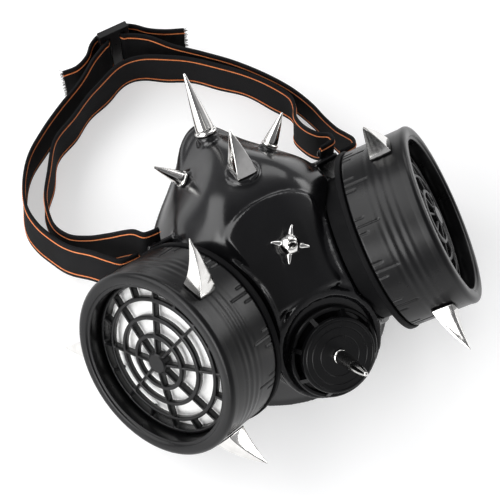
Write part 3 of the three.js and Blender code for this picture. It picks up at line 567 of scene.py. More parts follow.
def canister_clearance():
    collar, flange = COLLAR_RADIUS + SEAT_ROOM, FLANGE_RADIUS + SEAT_ROOM
    back = -CANISTER_DEPTH - SEAT_ROOM
    return turned([
        (0, seat_level), (collar, seat_level), (collar, back), (flange, back),
        (flange, ABOVE_RIM), (0, ABOVE_RIM),
    ])


def seat_cup(sign):
    """Part of the hollow that stays filled, so that the shell is closed behind and round a canister."""
    radius = COLLAR_RADIUS + SEAT_ROOM + SHELL_WALL
    return at_canister(disc(radius, seat_level - SHELL_WALL, -CANISTER_DEPTH), sign)


shell_joins = [
    front_block(),
    at_valve(disc(VALVE_CUP.radius, cup_top - VALVE_CUP.depth, cup_top)),
    at_valve(valve_hood()),
]
valve_room = disc(VALVE_CUP.clear_radius, cup_top, VALVE_CUP.clear_height)
hollow = new_piece("hollow", [dome(SHELL_WALL, SHELL_SKIRT)])
carve(hollow, [], [seat_cup(sign) for _, sign in SIDES])
airway_low = cup_top - VALVE_CUP.depth - CUT_THROUGH
shell_cuts = [
    hollow,
    disc(**FLOOR_CUT),
    at_valve(disc(VALVE_CUP.airway, airway_low, cup_top + GAP, SMALL_STEPS)),
    at_valve(valve_room),
    at_valve((valve_room[0] + np.array([0, HOOD.shift, 0]), valve_room[1])),
]
for side_name, sign in SIDES:
    boss = disc(SEAT_BOSS.radius, seat_level - SEAT_BOSS.depth, seat_level)
    port = disc(PORT_RADIUS, seat_level - CUT_THROUGH, seat_level + GAP, SMALL_STEPS)
    shell_joins += [at_canister(boss, sign), lug_plate(sign)]
    shell_joins += [peg(place, sign) for place in PEG_PLACES]
    shell_cuts += [at_canister(canister_clearance(), sign), at_canister(port, sign)]
for spike in SPIKE_FEET.values():
    seat = disc(spike["seat"], -SEAT_DEPTH, -GAP, SMALL_STEPS)
    room_above = disc(spike["seat"], -GAP, SEAT_CLEARANCE, SMALL_STEPS)
    shell_joins.append(on_foot(seat, spike))
    shell_cuts.append(on_foot(room_above, spike))

mask_shell = carve(new_piece("mask_shell_moulded", [dome(0.0, 0.0)]), shell_joins, shell_cuts)
remesh = mask_shell.modifiers.new("even", "REMESH")
remesh.mode = "VOXEL"
remesh.voxel_size = SHELL_VOXEL * MM
even = mask_shell.modifiers.new("soft", "SMOOTH")
even.factor = 0.5
even.iterations = SHELL_SMOOTHING
lighter = mask_shell.modifiers.new("lighter", "DECIMATE")
lighter.ratio = SHELL_KEPT
made_plain(mask_shell)
mask_shell.data.shade_smooth()
gloss_pvc = new_material("gloss_pvc", {"IOR": 1.5})
vary_colour(gloss_pvc, scale=40.0, dark=GLOSS_DARK, light=GLOSS_LIGHT)
vary_roughness(gloss_pvc, scale=120.0, smooth=0.17, rough=0.24)
add_bump(gloss_pvc, scale=45.0, depth_mm=0.12, detail=1.0)
add_bump(gloss_pvc, scale=2400.0, depth_mm=0.004)
dress(mask_shell, gloss_pvc, "gloss_pvc", "mask_shell")

# Canister bases
# The collar and back flange that carry each canister on its seat, turned in matte black plastic, with a
# round port through the flange into the mask.
FLANGE_THICKNESS = 2.6
COLLAR_WALL = 3.0
BASE_STEPS = 160
BASE_EDGE = 0.5
HARD_EDGE = math.radians(28)
MATTE_DARK = (0.004, 0.004, 0.0045, 1.0)
MATTE_LIGHT = (0.007, 0.007, 0.0075, 1.0)


def soften(piece, width, segments=3):
    """Rounds the hard edges of a piece and keeps its flat faces flat."""
    bevel = piece.modifiers.new("round", "BEVEL")
    bevel.width = width * MM
    bevel.segments = segments
    bevel.limit_method = "ANGLE"
    bevel.angle_limit = HARD_EDGE
    bevel.miter_outer = "MITER_ARC"
    weighted = piece.modifiers.new("flat", "WEIGHTED_NORMAL")
    weighted.keep_sharp = False
    return made_plain(piece)


matte_plastic = new_material("matte_plastic", {"Specular IOR Level": 0.06})
vary_colour(matte_plastic, scale=60.0, dark=MATTE_DARK, light=MATTE_LIGHT)
vary_roughness(matte_plastic, scale=200.0, smooth=0.48, rough=0.6)
add_bump(matte_plastic, scale=1800.0, depth_mm=0.02)
for side_name, sign in SIDES:
    inner = COLLAR_RADIUS - COLLAR_WALL
    collar_back = -(CANISTER_DEPTH + COLLAR_LENGTH)
    front = -CANISTER_DEPTH + FLANGE_THICKNESS
    profile = [
        (PORT_RADIUS, -CANISTER_DEPTH), (inner, -CANISTER_DEPTH), (inner, collar_back),
        (COLLAR_RADIUS, collar_back), (COLLAR_RADIUS, -CANISTER_DEPTH), (FLANGE_RADIUS, -CANISTER_DEPTH),
        (FLANGE_RADIUS, front), (PORT_RADIUS, front), (PORT_RADIUS, -CANISTER_DEPTH),
    ]
    base = new_piece(f"canister_base_{side_name}_turned", [at_canister(turned(profile, BASE_STEPS), sign)])
    dress(soften(base, BASE_EDGE), matte_plastic, "satin_plastic", f"canister_base_{side_name}")

# Canister covers
# Round satin black walls with a rounded bezel. Shallow rings run round each wall, and groups of three
# grooves, a long one between two short ones, run in from its back edge for grip.
RIM_RADIUS = 42.5
BEZEL = Sizes(recess=36.0, shelf=-17.0, inner_wall=40.0, wall=42.2, round=2.2, step=37.4, step_depth=0.9,
              lip=0.5, back_bevel=0.4, arc_steps=8)
STEP_EDGE = [{"out": 0.1, "level": -0.35}, {"out": 0.45, "level": 0.0}]
WALL_ROW = 0.55
COVER_STEPS = 900
GROOVE_GROUPS = 13
GROOVES = [
    {"turn": -4.6, "length": 5.6}, {"turn": 0.0, "length": 11.5}, {"turn": 4.6, "length": 5.2},
]
GROOVE_WIDTH = 0.42
GROOVE_DEPTH = 0.55
FIRST_GROUP = {"left": 9.0, "right": -12.0}
GROOVE_END = 0.9
RING_BAND = Sizes(low=-22.0, high=-8.0, pitch=3.6, height=0.09, fade=3.0)
SATIN_DARK = (0.003, 0.003, 0.0033, 1.0)
SATIN_LIGHT = (0.0055, 0.0055, 0.006, 1.0)


def cover_profile(back):
    """Rows of radius and height, fine along the outer wall, and which of them lie on that wall."""
    arc = np.linspace(0, math.pi / 2, BEZEL.arc_steps)
    lip = BEZEL.lip
    rows = [(BEZEL.recess, BEZEL.shelf), (BEZEL.recess, -BEZEL.step_depth - lip)]
    rows += [(BEZEL.recess + lip * (1 - math.cos(a)), -BEZEL.step_depth - lip * (1 - math.sin(a)))
             for a in arc[1:]]
    rows += [(BEZEL.step, -BEZEL.step_depth)]
    rows += [(BEZEL.step + edge["out"], edge["level"]) for edge in STEP_EDGE]
    corner = RIM_RADIUS - BEZEL.round
    rows += [(corner + BEZEL.round * math.sin(a), -BEZEL.round * (1 - math.cos(a))) for a in arc]
    wall_start = len(rows)
    heights = np.arange(-2 * BEZEL.round, back + BEZEL.lip, -WALL_ROW)
    rows += [(BEZEL.wall, height) for height in heights]
    wall_end = len(rows)
    rows += [(BEZEL.wall - BEZEL.back_bevel, back), (BEZEL.inner_wall, back), (BEZEL.inner_wall, BEZEL.shelf)]
    return np.array(rows), slice(wall_start, wall_end)


def cover_shape(side_name):
    back = -CANISTER_DEPTH + FLANGE_THICKNESS + GAP
    rows, wall = cover_profile(back)
    turn = np.linspace(0, 360, COVER_STEPS, endpoint=False)
    radius = np.repeat(rows[:, :1], COVER_STEPS, axis=1)
    height = np.repeat(rows[:, 1:], COVER_STEPS, axis=1)
    level = rows[wall, 1][:, None]
    fade = np.clip((level - RING_BAND.low) / RING_BAND.fade, 0, 1)
    fade = fade * np.clip((RING_BAND.high - level) / RING_BAND.fade, 0, 1)
    radius[wall] += RING_BAND.height * fade * np.cos(2 * math.pi * level / RING_BAND.pitch)
    for group in range(GROOVE_GROUPS):
        for groove in GROOVES:
            middle = FIRST_GROUP[side_name] + group * 360 / GROOVE_GROUPS + groove["turn"]
            away = np.radians((turn - middle + 180) % 360 - 180) * BEZEL.wall
            across = np.exp(-(away / GROOVE_WIDTH) ** 2)
            end = np.clip((back + groove["length"] - level) / GROOVE_END, 0, 1)
            radius[wall] -= GROOVE_DEPTH * end * across[None, :]
    angle = np.radians(turn)[None, :]
    return looped(np.stack([radius * np.cos(angle), radius * np.sin(angle), height], axis=2))


satin_plastic = new_material("satin_plastic", {"IOR": 1.5, "Specular IOR Level": 0.28})
vary_colour(satin_plastic, scale=50.0, dark=SATIN_DARK, light=SATIN_LIGHT)
vary_roughness(satin_plastic, scale=90.0, smooth=0.26, rough=0.34)
add_bump(satin_plastic, scale=1500.0, depth_mm=0.012)
for side_name, sign in SIDES:
    cover = new_piece(f"canister_cover_{side_name}_turned", [at_canister(cover_shape(side_name), sign)])
    dress(cover, satin_plastic, "satin_plastic", f"canister_cover_{side_name}")

# Canister grilles
# Domed open grilles moulded in the same black plastic: a hub, three rings and an edge ring, carried by
# long spokes from the hub and short ones at the edge.
GRILLE = Sizes(hub_radius=4.7, hub_depth=2.7, edge_depth=7.6, edge_radius=35.7, bar_depth=3.6,
               bar_width=1.2, ring_depth=2.4, ring_width=1.8, spokes=8, back=-12.4, turn=30.0,
               dome_power=1.2, spoke_drop=0.2, bite=0.6, spoke_steps=16)
GRILLE_RINGS = [12.2, 20.2, 28.2]
BAR_ROUND = 0.3


def grille_front(radius):
    share = (np.asarray(radius, float) / GRILLE.edge_radius) ** GRILLE.dome_power
    return -(GRILLE.hub_depth + (GRILLE.edge_depth - GRILLE.hub_depth) * share)


def grille_ring(inner, outer, back=None):
    """Ring with rounded front edges that follows the grille's dome."""
    low_inner = grille_front(inner) - GRILLE.ring_depth if back is None else back
    low_outer = grille_front(outer) - GRILLE.ring_depth if back is None else back
    return turned([
        (inner, low_inner), (outer, low_outer), (outer, grille_front(outer) - BAR_ROUND),
        (outer - BAR_ROUND, grille_front(outer)), (inner + BAR_ROUND, grille_front(inner)),
        (inner, grille_front(inner) - BAR_ROUND), (inner, low_inner),
    ])


def grille_spoke(inner, outer):
    """Bar along X with rounded front edges that follows the grille's dome."""
    half = GRILLE.bar_width / 2
    rings = []
    for radius in np.linspace(inner, outer, GRILLE.spoke_steps):
        front = grille_front(radius) - GRILLE.spoke_drop
        back = front - GRILLE.bar_depth + GRILLE.spoke_drop
        rings.append([
            (radius, -half, back), (radius, half, back), (radius, half, front - BAR_ROUND),
            (radius, half - BAR_ROUND, front), (radius, -half + BAR_ROUND, front),
            (radius, -half, front - BAR_ROUND),
        ])
    return closed(rings)


def named_tree(name, inputs):
    """Empty tree of geometry nodes with named inputs, and the outputs that give them."""
    tree = bpy.data.node_groups.new(name, "GeometryNodeTree")
    for label, kind in {"Geometry": "Geometry", **inputs, "Finish": "Material"}.items():
        tree.interface.new_socket(label, in_out="INPUT", socket_type=f"NodeSocket{kind}")
    tree.interface.new_socket("Geometry", in_out="OUTPUT", socket_type="NodeSocketGeometry")
    return tree, add_node(tree, "NodeGroupInput")


def end_tree(tree, given, instances):
    """Makes the instances real, gives them their finish and ends the tree."""
    real = add_node(tree, "GeometryNodeRealizeInstances", {"Geometry": instances["Instances"]})
    finish = {"Geometry": real["Geometry"], "Material": given["Finish"]}
    coloured = add_node(tree, "GeometryNodeSetMaterial", finish)
    add_node(tree, "NodeGroupOutput", {"Geometry": coloured["Geometry"]})
    return tree


def maths(holder, operation, *inputs):
    """Result of a maths node on values or other nodes' outputs."""
    return add_node(holder, "ShaderNodeMath", dict(enumerate(inputs)), operation=operation)["Value"]


def grown(name, points, edges, faces, tree, values):
    """Piece that a tree makes from a mesh, with the tree's named inputs set by their identifiers."""
    mesh = bpy.data.meshes.new(name)
    mesh.from_pydata(points, edges, faces)
    piece = bpy.data.objects.new(name, mesh)
    scene.collection.objects.link(piece)
    modifier = piece.modifiers.new("grown", "NODES")
    modifier.node_group = tree
    for socket in tree.interface.items_tree:
        if socket.name in values:
            modifier[socket.identifier] = values[socket.name]
    return made_plain(piece)


def copies_tree():
    """Geometry nodes that set copies of a mesh in even turns about Z."""
    tree, given = named_tree("copies_round_a_middle", {"Copies": "Int", "First turn": "Float"})
    points = add_node(tree, "GeometryNodePoints", {"Count": given["Copies"]})
    index = add_node(tree, "GeometryNodeInputIndex")["Index"]
    step = maths(tree, "DIVIDE", 2 * math.pi, given["Copies"])
    turn = maths(tree, "MULTIPLY_ADD", index, step, given["First turn"])
    rotation = add_node(tree, "ShaderNodeCombineXYZ", {"Z": turn})["Vector"]
    instances = add_node(tree, "GeometryNodeInstanceOnPoints", {
        "Points": points["Points"], "Instance": given["Geometry"], "Rotation": rotation,
    })
    return end_tree(tree, given, instances)


round_tree = copies_tree()


def copies_round(shape, copies, first_turn):
    """The points and faces of copies of a shape set round Z."""
    points, faces = shape
    values = {"Copies": copies, "First turn": first_turn, "Finish": satin_plastic}
    faces = [list(map(int, face)) for face in faces]
    carrier = grown("copies", np.asarray(points, float).tolist(), [], faces, round_tree, values)
    all_points = np.array([vertex.co for vertex in carrier.data.vertices])
    all_faces = [list(polygon.vertices) for polygon in carrier.data.polygons]
    bpy.data.objects.remove(carrier)
    return all_points, all_faces


edge_inner = GRILLE.edge_radius - GRILLE.ring_width
for side_name, sign in SIDES:
    start = -sign * math.radians(GRILLE.turn)
    half_step = math.pi / GRILLE.spokes
    long_spoke = grille_spoke(GRILLE.hub_radius - GRILLE.bite, edge_inner + GRILLE.bite)
    short_spoke = grille_spoke(GRILLE_RINGS[-1], edge_inner + GRILLE.bite)
    hub_front = float(grille_front(0))
    hub_back = hub_front - GRILLE.bar_depth - GRILLE.bite
    hub = turned([
        (0, hub_back), (GRILLE.hub_radius, hub_back), (GRILLE.hub_radius, hub_front - 2 * BAR_ROUND),
        (GRILLE.hub_radius - 2 * BAR_ROUND, hub_front), (0, hub_front),
    ], SMALL_STEPS)
    joins = [grille_ring(edge_inner, GRILLE.edge_radius, GRILLE.back)]
    joins += [grille_ring(radius - GRILLE.ring_width / 2, radius + GRILLE.ring_width / 2)
              for radius in GRILLE_RINGS]
    joins += [copies_round(long_spoke, GRILLE.spokes, start)]
    joins += [copies_round(short_spoke, GRILLE.spokes, start + half_step)]
    grille = new_piece(f"canister_grille_{side_name}_moulded", [at_canister(hub, sign)], smooth=False)
    carve(grille, [at_canister(shape, sign) for shape in joins], [])
    dress(grille, satin_plastic, "satin_plastic", f"canister_grille_{side_name}")

# Filter pads
# A round white felt pad lies close behind each grille, domed like it, with a soft cut edge.
PAD = Sizes(radius=35.6, front=-12.7, thickness=3.6, behind=1.4, dome=32.4, edge=0.6, steps=24)
PAD_DARK = (0.88, 0.88, 0.87, 1.0)
PAD_LIGHT = (0.96, 0.96, 0.95, 1.0)
felt = new_material("felt", {"Roughness": 0.95, "Sheen Weight": 0.2, "Sheen Roughness": 0.6})
vary_colour(felt, scale=700.0, dark=PAD_DARK, light=PAD_LIGHT)
add_bump(felt, scale=1300.0, depth_mm=0.12, detail=5.0)
for side_name, sign in SIDES:
    low, high = PAD.front - PAD.thickness, PAD.front
    inner = PAD.radius - PAD.edge
    profile = [(0, low), (inner, low), (PAD.radius, low + PAD.edge)]
    profile += [(PAD.radius, high - PAD.edge), (inner, high), (PAD.dome + GAP, high)]
    domed = np.linspace(PAD.dome, 0, PAD.steps)
    profile += list(zip(domed, grille_front(domed) - GRILLE.bar_depth - PAD.behind))
    pad = new_piece(f"filter_pad_{side_name}_felt", [at_canister(turned(profile), sign)])
    dress(pad, felt, "pad", f"filter_pad_{side_name}")

# Canister claws and nose claw
# Polished chrome spikes with four sides on a square foot. Each point is drawn to one side like a claw,
# and each is screwed on from behind.
CLAW = Sizes(half=5.0, taper=0.82, bend=1.5, corner=0.34, bulge=0.05, layers=36, tip=0.045, crowding=1.15,
             corner_share=0.4, corner_steps=5)
CLAW_SIDE = (0.6, 0.2, -0.2, -0.6)
NOSE_CLAW = {"height": 20.0, "lean_x": 0.0, "lean_y": 6.0}
CANISTER_CLAWS = {
    "left": [
        {"letter": "a", "angle": -1.5, "back": 11.9, "height": 21.0, "to_rim": 4.0, "to_nose": 10.6},
        {"letter": "b", "angle": -110.0, "back": 12.0, "height": 19.0, "to_rim": -3.5, "to_nose": 4.5},
        {"letter": "c", "angle": 128.0, "back": 11.0, "height": 19.0, "to_rim": 3.0, "to_nose": 0.0},
    ],
    "right": [
        {"letter": "a", "angle": 30.0, "back": 11.3, "height": 18.0, "to_rim": 0.3, "to_nose": -7.5},
        {"letter": "b", "angle": -94.0, "back": 13.5, "height": 21.0, "to_rim": 5.2, "to_nose": 0.0},
        {"letter": "c", "angle": 140.0, "back": 11.0, "height": 19.0, "to_rim": 3.0, "to_nose": 0.0},
    ],
}
CHROME_DARK = (0.72, 0.71, 0.69, 1.0)
CHROME_LIGHT = (0.82, 0.81, 0.79, 1.0)
chrome = new_material("chrome", {"Metallic": 1.0})
vary_colour(chrome, scale=300.0, dark=CHROME_DARK, light=CHROME_LIGHT)
vary_roughness(chrome, scale=500.0, smooth=0.06, rough=0.13)
add_bump(chrome, scale=260.0, depth_mm=0.03, detail=1.0)


def claw_section(size):
    """Square with rounded corners and slightly swelling sides, as points round the middle."""
    corner = min(CLAW.corner, CLAW.corner_share * size)
    points = []
    for quarter in range(4):
        for turn in np.linspace(0, math.pi / 2, CLAW.corner_steps):
            angle = quarter * math.pi / 2 + turn
            middle = math.pi / 4 + quarter * math.pi / 2
            reach = (size - corner) * math.sqrt(2)
            points.append((reach * math.cos(middle) + corner * math.cos(angle),
                           reach * math.sin(middle) + corner * math.sin(angle)))
        after = (quarter + 1) * math.pi / 2
        for share in CLAW_SIDE:
            side = size * (1 + CLAW.bulge * (1 - share ** 2))
            points.append((side * math.cos(after) + share * size * math.sin(after),
                           side * math.sin(after) - share * size * math.cos(after)))
    return np.array(points)


def claw(height, lean_x, lean_y):
    rings = []
    for t in 1 - np.linspace(1, CLAW.tip, CLAW.layers) ** CLAW.crowding:
        section = claw_section(CLAW.half * (1 - t) ** CLAW.taper)
        bent = t ** CLAW.bend
        level = np.full(len(section), height * t)
        rings.append(np.column_stack([section + np.array([lean_x, lean_y]) * bent, level]))
    return capped(np.array(rings), (0, 0, 0), (lean_x, lean_y, height))


def claw_piece(node_name, shape):
    piece = new_piece(f"{node_name}_chrome", [shape])
    piece.modifiers.new("flat", "WEIGHTED_NORMAL")
    dress(made_plain(piece), chrome, "chrome", node_name)


for side_name, sign in SIDES:
    for row in CANISTER_CLAWS[side_name]:
        turn = -sign * math.radians(row["angle"])
        outwards = np.array([math.cos(turn), math.sin(turn), 0])
        foot = outwards * (BEZEL.wall + GAP) - UP * row["back"]
        shape = placed(claw(row["height"], row["to_rim"], sign * row["to_nose"]), outwards, UP, foot)
        claw_piece(f"canister_spike_{side_name}_{row['letter']}", at_canister(shape, sign))
claw_piece("nose_claw_spike", on_foot(claw(**NOSE_CLAW), SPIKE_FEET["nose_claw_spike"]))

# Cone spikes
# Turned chrome cones, one on the nose, one on each side of it and one on the valve. Each stands on a small
# round foot.
NOSE_CONE = {"radius": 4.3, "length": 30.0, "foot": 5.2, "swell": 0.16, "tip": 0.45}
SIDE_CONE = {"radius": 3.4, "length": 16.5, "foot": 3.9, "swell": 0.16, "tip": 0.45}
VALVE_CONE = {"radius": 3.2, "length": 26.0, "foot": 3.4, "swell": 0.75, "tip": 0.9}
CONE_FOOT = Sizes(height=1.6, neck=0.97, neck_rise=0.15, body_rise=0.6, steps=12)
CONE_BODY = Sizes(start=0.04, steps=24)
CONE_TIP = Sizes(round=0.4, share=0.7, bevel=0.12)
CONE_STEPS = 64


def cone(radius, length, foot, swell, tip):
    """Round foot, a narrow neck over it, and a slightly swelling taper to a blunt point."""
    bead = CONE_FOOT.height / 2
    low = CONE_FOOT.height + CONE_FOOT.body_rise
    high = length - CONE_TIP.round
    arc = np.linspace(-math.pi / 2, math.pi / 2, CONE_FOOT.steps)
    rows = [(0, 0)]
    rows += [(foot - bead + bead * math.cos(a), bead + bead * math.sin(a)) for a in arc]
    rows += [(radius * CONE_FOOT.neck, CONE_FOOT.height + CONE_FOOT.neck_rise), (radius, low)]
    for t in np.linspace(CONE_BODY.start, 1, CONE_BODY.steps):
        straight = radius + (tip - radius) * t
        fuller = swell * radius * t * (1 - t)
        rows.append((straight + fuller, low + (high - low) * t))
    rows += [(tip * CONE_TIP.share, length - CONE_TIP.bevel), (0, length)]
    return turned(rows, CONE_STEPS)


cones = {
    "nose_cone_spike": NOSE_CONE, "side_cone_spike_left": SIDE_CONE, "side_cone_spike_right": SIDE_CONE,
    "valve_spike": VALVE_CONE,
}
cone_feet = {**SPIKE_FEET, "valve_spike": {"foot": VALVE_FRONT + GAP * VALVE_AXIS, "toward": VALVE_AXIS}}
for node_name, sizes in cones.items():
    piece = new_piece(f"{node_name}_chrome", [on_foot(cone(**sizes), cone_feet[node_name])])
    dress(piece, chrome, "chrome", node_name)

# Star stud
# A cast chrome ball on a short foot, in the middle of the front block, with four points round it and one
# on top.
STAR = Sizes(foot=4.2, neck=3.6, neck_height=1.4, ball_height=5.0, ball=4.6, rise=0.12, twist=-32.0,
             points=4, waist_at=4.4, foot_edge=0.5, fullness=1.5, tip=0.3, ball_from=-0.75, ball_steps=20,
             tip_from=0.96, steps=14)
STAR_POINT = {"base": 1.7, "waist": 1.3, "reach": 8.6}
STAR_TOP = {"base": 2.6, "waist": 2.0, "reach": 10.5}
ball_arc = np.linspace(STAR.ball_from, math.pi / 2, STAR.ball_steps)
ball_rows = [(0, 0), (STAR.foot, 0), (STAR.foot, STAR.foot_edge), (STAR.neck, STAR.neck_height)]
ball_rows += [(STAR.ball * math.cos(a), STAR.ball_height + STAR.ball * math.sin(a)) for a in ball_arc[:-1]]
ball_rows += [(0, STAR.ball_height + STAR.ball)]
star_foot = SPIKE_FEET["star_stud"]


def star_point(base, waist, reach):
    """Cone with a rounded tip."""
    rows = [(0, 0), (base, 0)]
    for t in np.linspace(0, STAR.tip_from, STAR.steps):
        radius = waist * (1 - t ** STAR.fullness) + STAR.tip * t
        rows.append((radius, STAR.waist_at + (reach - STAR.waist_at) * t))
    return turned([*rows, (0, reach)], SMALL_STEPS)


star_middle = (0, 0, STAR.ball_height)
star_joins = [placed(star_point(**STAR_TOP), UP, ACROSS, star_middle)]
for i in range(STAR.points):
    turn = math.radians(STAR.twist) + 2 * math.pi * i / STAR.points
    aim = (math.cos(turn), math.sin(turn), STAR.rise)
    star_joins.append(placed(star_point(**STAR_POINT), aim, UP, star_middle))
star = new_piece("star_stud_chrome", [on_foot(turned(ball_rows, CONE_STEPS), star_foot)])
carve(star, [on_foot(shape, star_foot) for shape in star_joins], [])
dress(star, chrome, "chrome", "star_stud")

# Valve cover
# Moulded cover of the chin valve: a round front disc with fine engraved rings, carried by ribs over a ring,
# with open slots between them for the breath.
VALVE = Sizes(disc=17.2, thickness=2.6, ring_inner=18.6, ring_outer=20.6, ring_front=-5.0, core_inner=11.5,
              core_outer=13.5, ribs=8, rib_width=2.0, bite=0.4, first_rib=0.3, ring_edge=0.5, ring_lip=0.4,
              rounding=0.15, steps=128)
DISC_EDGE = [{"in": 0.0, "level": -0.7}, {"in": 0.2, "level": -0.25}, {"in": 0.7, "level": 0.0}]
ENGRAVED_RINGS = [9.0, 12.9, 15.6]
ENGRAVED = Sizes(half=0.3, depth=0.28)
disc_rows = [(0, -VALVE.thickness), (VALVE.disc, -VALVE.thickness)]
disc_rows += [(VALVE.disc - edge["in"], edge["level"]) for edge in DISC_EDGE]
for radius in reversed(ENGRAVED_RINGS):
    disc_rows += [(radius + ENGRAVED.half, 0.0), (radius, -ENGRAVED.depth), (radius - ENGRAVED.half, 0.0)]
disc_rows += [(0, 0)]
disc_middle = -VALVE.thickness / 2
core_rows = [(VALVE.core_inner, VALVE_BACK), (VALVE.core_outer, VALVE_BACK), (VALVE.core_outer, disc_middle),
             (VALVE.core_inner, disc_middle), (VALVE.core_inner, VALVE_BACK)]
ring_front = VALVE.ring_front
ring_rows = [(VALVE.ring_inner, VALVE_BACK), (VALVE.ring_outer, VALVE_BACK),
             (VALVE.ring_outer, ring_front - VALVE.ring_edge),
             (VALVE.ring_outer - VALVE.ring_edge, ring_front),
             (VALVE.ring_inner + VALVE.ring_lip, ring_front),
             (VALVE.ring_inner, ring_front - VALVE.ring_lip), (VALVE.ring_inner, VALVE_BACK)]
rib_inner = VALVE.core_inner + VALVE.bite
rib_outer = VALVE.ring_outer - VALVE.bite
rib_side = [
    (rib_inner, VALVE_BACK + VALVE.bite), (rib_outer, VALVE_BACK + VALVE.bite),
    (rib_outer, ring_front - VALVE.bite), (VALVE.disc - VALVE.bite, disc_middle),
    (rib_inner, disc_middle),
]
rib = closed([[(r, side * VALVE.rib_width / 2, z) for r, z in rib_side] for side in (-1, 1)])
first_rib = VALVE.first_rib * 2 * math.pi / VALVE.ribs
ribs = copies_round(rib, VALVE.ribs, first_rib)
valve = new_piece("valve_cover_moulded", [at_valve(turned(disc_rows, VALVE.steps))], smooth=False)
carve(valve, [at_valve(shape) for shape in (turned(ring_rows), turned(core_rows), ribs)], [])
soften(valve, VALVE.rounding, segments=2)
dress(valve, satin_plastic, "satin_plastic", "valve_cover")

# Elastic strap
# Ribbed black elastic, 25 mm wide, with a thin orange stripe near each edge. One band runs from peg to peg
# round the head, and an outer band in two halves buttons onto the lower pegs and meets in the buckle.
STRAP_WIDTH = 25.0
STRAP_THICKNESS = 1.4
STRAP_LEAN = 1.6
STRAP_STEPS = 12
BAND_FLAT = 0.97
BAND_EDGE = 0.6
BAND_ROWS = 21
ROUTE_INNER = [
    (-41.6, 53, 50), (-45, 53, 50), (-48.5, 53.8, 49.5), (-51.5, 58.6, 47), (-55, 64, 40.5),
    (-60, 71, 31), (-67, 79.5, 21), (-74, 89, 14.5), (-77.5, 99, 12.5), (-75, 112, 12.5),
    (-67.5, 126, 12.5), (-56, 142, 12.5), (-40, 151.5, 12.5), (-25, 160, 12.5), (-8, 167, 12.5),
    (6, 165.5, 12.5), (20, 157.5, 12.5), (33, 146, 12.5), (46, 131, 12.5), (55, 118, 12.5),
    (59, 106, 13), (56.5, 97, 16), (51.5, 88, 22.5), (48.5, 77, 31), (48.5, 66, 40),
    (50.2, 58.5, 47), (48.8, 53.8, 49.5), (45, 53, 50), (41.6, 53, 50),
]
ROUTE_OUTER = {
    "left": [
        (-53, 53, 37), (-57.5, 53, 37), (-61.5, 53.7, 36.5), (-65.5, 58.5, 35), (-70, 66, 31.5),
        (-76, 78, 22), (-80, 90, 14.5), (-83.5, 102, 12.5), (-84, 114, 12.5), (-79.5, 127, 12.5),
        (-70, 140, 12.5), (-58, 149.5, 12.5), (-44, 158, 12.5), (-28, 166, 13.5), (-17, 172.5, 16),
    ],
    "right": [
        (53, 53, 37), (57.5, 53, 37), (61.5, 53.7, 36), (64.5, 58.5, 32), (66.3, 66.5, 24.5),
        (67, 76, 17), (67, 86, 13), (66, 96, 12.5), (62.5, 108, 12.5), (55, 123.5, 12.5),
        (45, 138, 12.5), (34, 150.5, 12.5), (22, 162, 13.5), (13, 171, 16),
    ],
}
FREE_ENDS = {
    "left": [(-14, 181, 16), (-19, 176.5, 14.5), (-26, 174.2, 13), (-33.5, 175, 12.5)],
    "right": [(10, 180.5, 16), (15.5, 176, 14.5), (23, 172, 13), (32, 168, 12.5)],
}
BUCKLE = Sizes(bar=2.6, slot=4.2, middle=5.4, thickness=3.5, height=33.0, end=3.4, loop=3.3, level=16.5,
               edge=0.7)
RIPPLE_INNER = 2.8
RIPPLE_OUTER = 1.0
RIPPLE_PITCHES = {31.0: 0.6, 47.0: 0.4}
RIPPLE_MIDDLE = 0.6
STRIPE_IN = 3.0
STRIPE_WIDTH = 0.9
PEG_HOLE = 2.7
STITCH = {"Pitch": 1.05, "Length": 1.15, "Width": 0.62}
FRAY = {"Pitch": 0.5, "Length": 2.6, "Width": 0.3}
FRAY_WAY = {"Shortest": 0.3, "Spread": 0.45, "Seed": 7}
FRAY_ROOT = 0.5
FRAY_SPAN = (-0.9, 0.96)
FRAY_STEPS = 25
# The elastic is black. Its weave runs from ELASTIC_DARK, painted shade in the grooves, to ELASTIC_LIGHT, a
# painted highlight on the ribs.
ELASTIC_DARK = (0.002, 0.002, 0.0022, 1.0)
ELASTIC_LIGHT = (0.008, 0.008, 0.0088, 1.0)
ORANGE = (0.66, 0.19, 0.05, 1.0)
THREAD_DARK = (0.55, 0.15, 0.035, 1.0)
THREAD_LIGHT = (0.85, 0.28, 0.08, 1.0)
LOOSE_DARK = (0.004, 0.004, 0.005, 1.0)
LOOSE_LIGHT = (0.09, 0.085, 0.08, 1.0)
RIB_PITCH = 0.85
WEFT_PITCH = 0.7
WEFT_SHARE = 0.45
WEAVE_DEPTH = 0.16


def smooth_line(points, steps):
    """Points along a centripetal curve through the given ones, with even steps between each two."""
    points = np.array(points, float)
    ends = [2 * points[0] - points[1], *points, 2 * points[-1] - points[-2]]
    line = []
    for p0, p1, p2, p3 in zip(ends, ends[1:], ends[2:], ends[3:]):
        d0, d1, d2 = (max(np.linalg.norm(b - a) ** 0.5, 1e-4) for a, b in ((p0, p1), (p1, p2), (p2, p3)))
        m1 = ((p1 - p0) / d0 - (p2 - p0) / (d0 + d1) + (p2 - p1) / d1) * d1
        m2 = ((p2 - p1) / d1 - (p3 - p1) / (d1 + d2) + (p3 - p2) / d2) * d1
        for t in np.linspace(0, 1, steps, endpoint=False):
            line.append(p1 * (2 * t ** 3 - 3 * t ** 2 + 1) + p2 * (3 * t ** 2 - 2 * t ** 3)
                        + m1 * (t ** 3 - 2 * t ** 2 + t) + m2 * (t ** 3 - t ** 2))
    return np.array([*line, points[-1]])


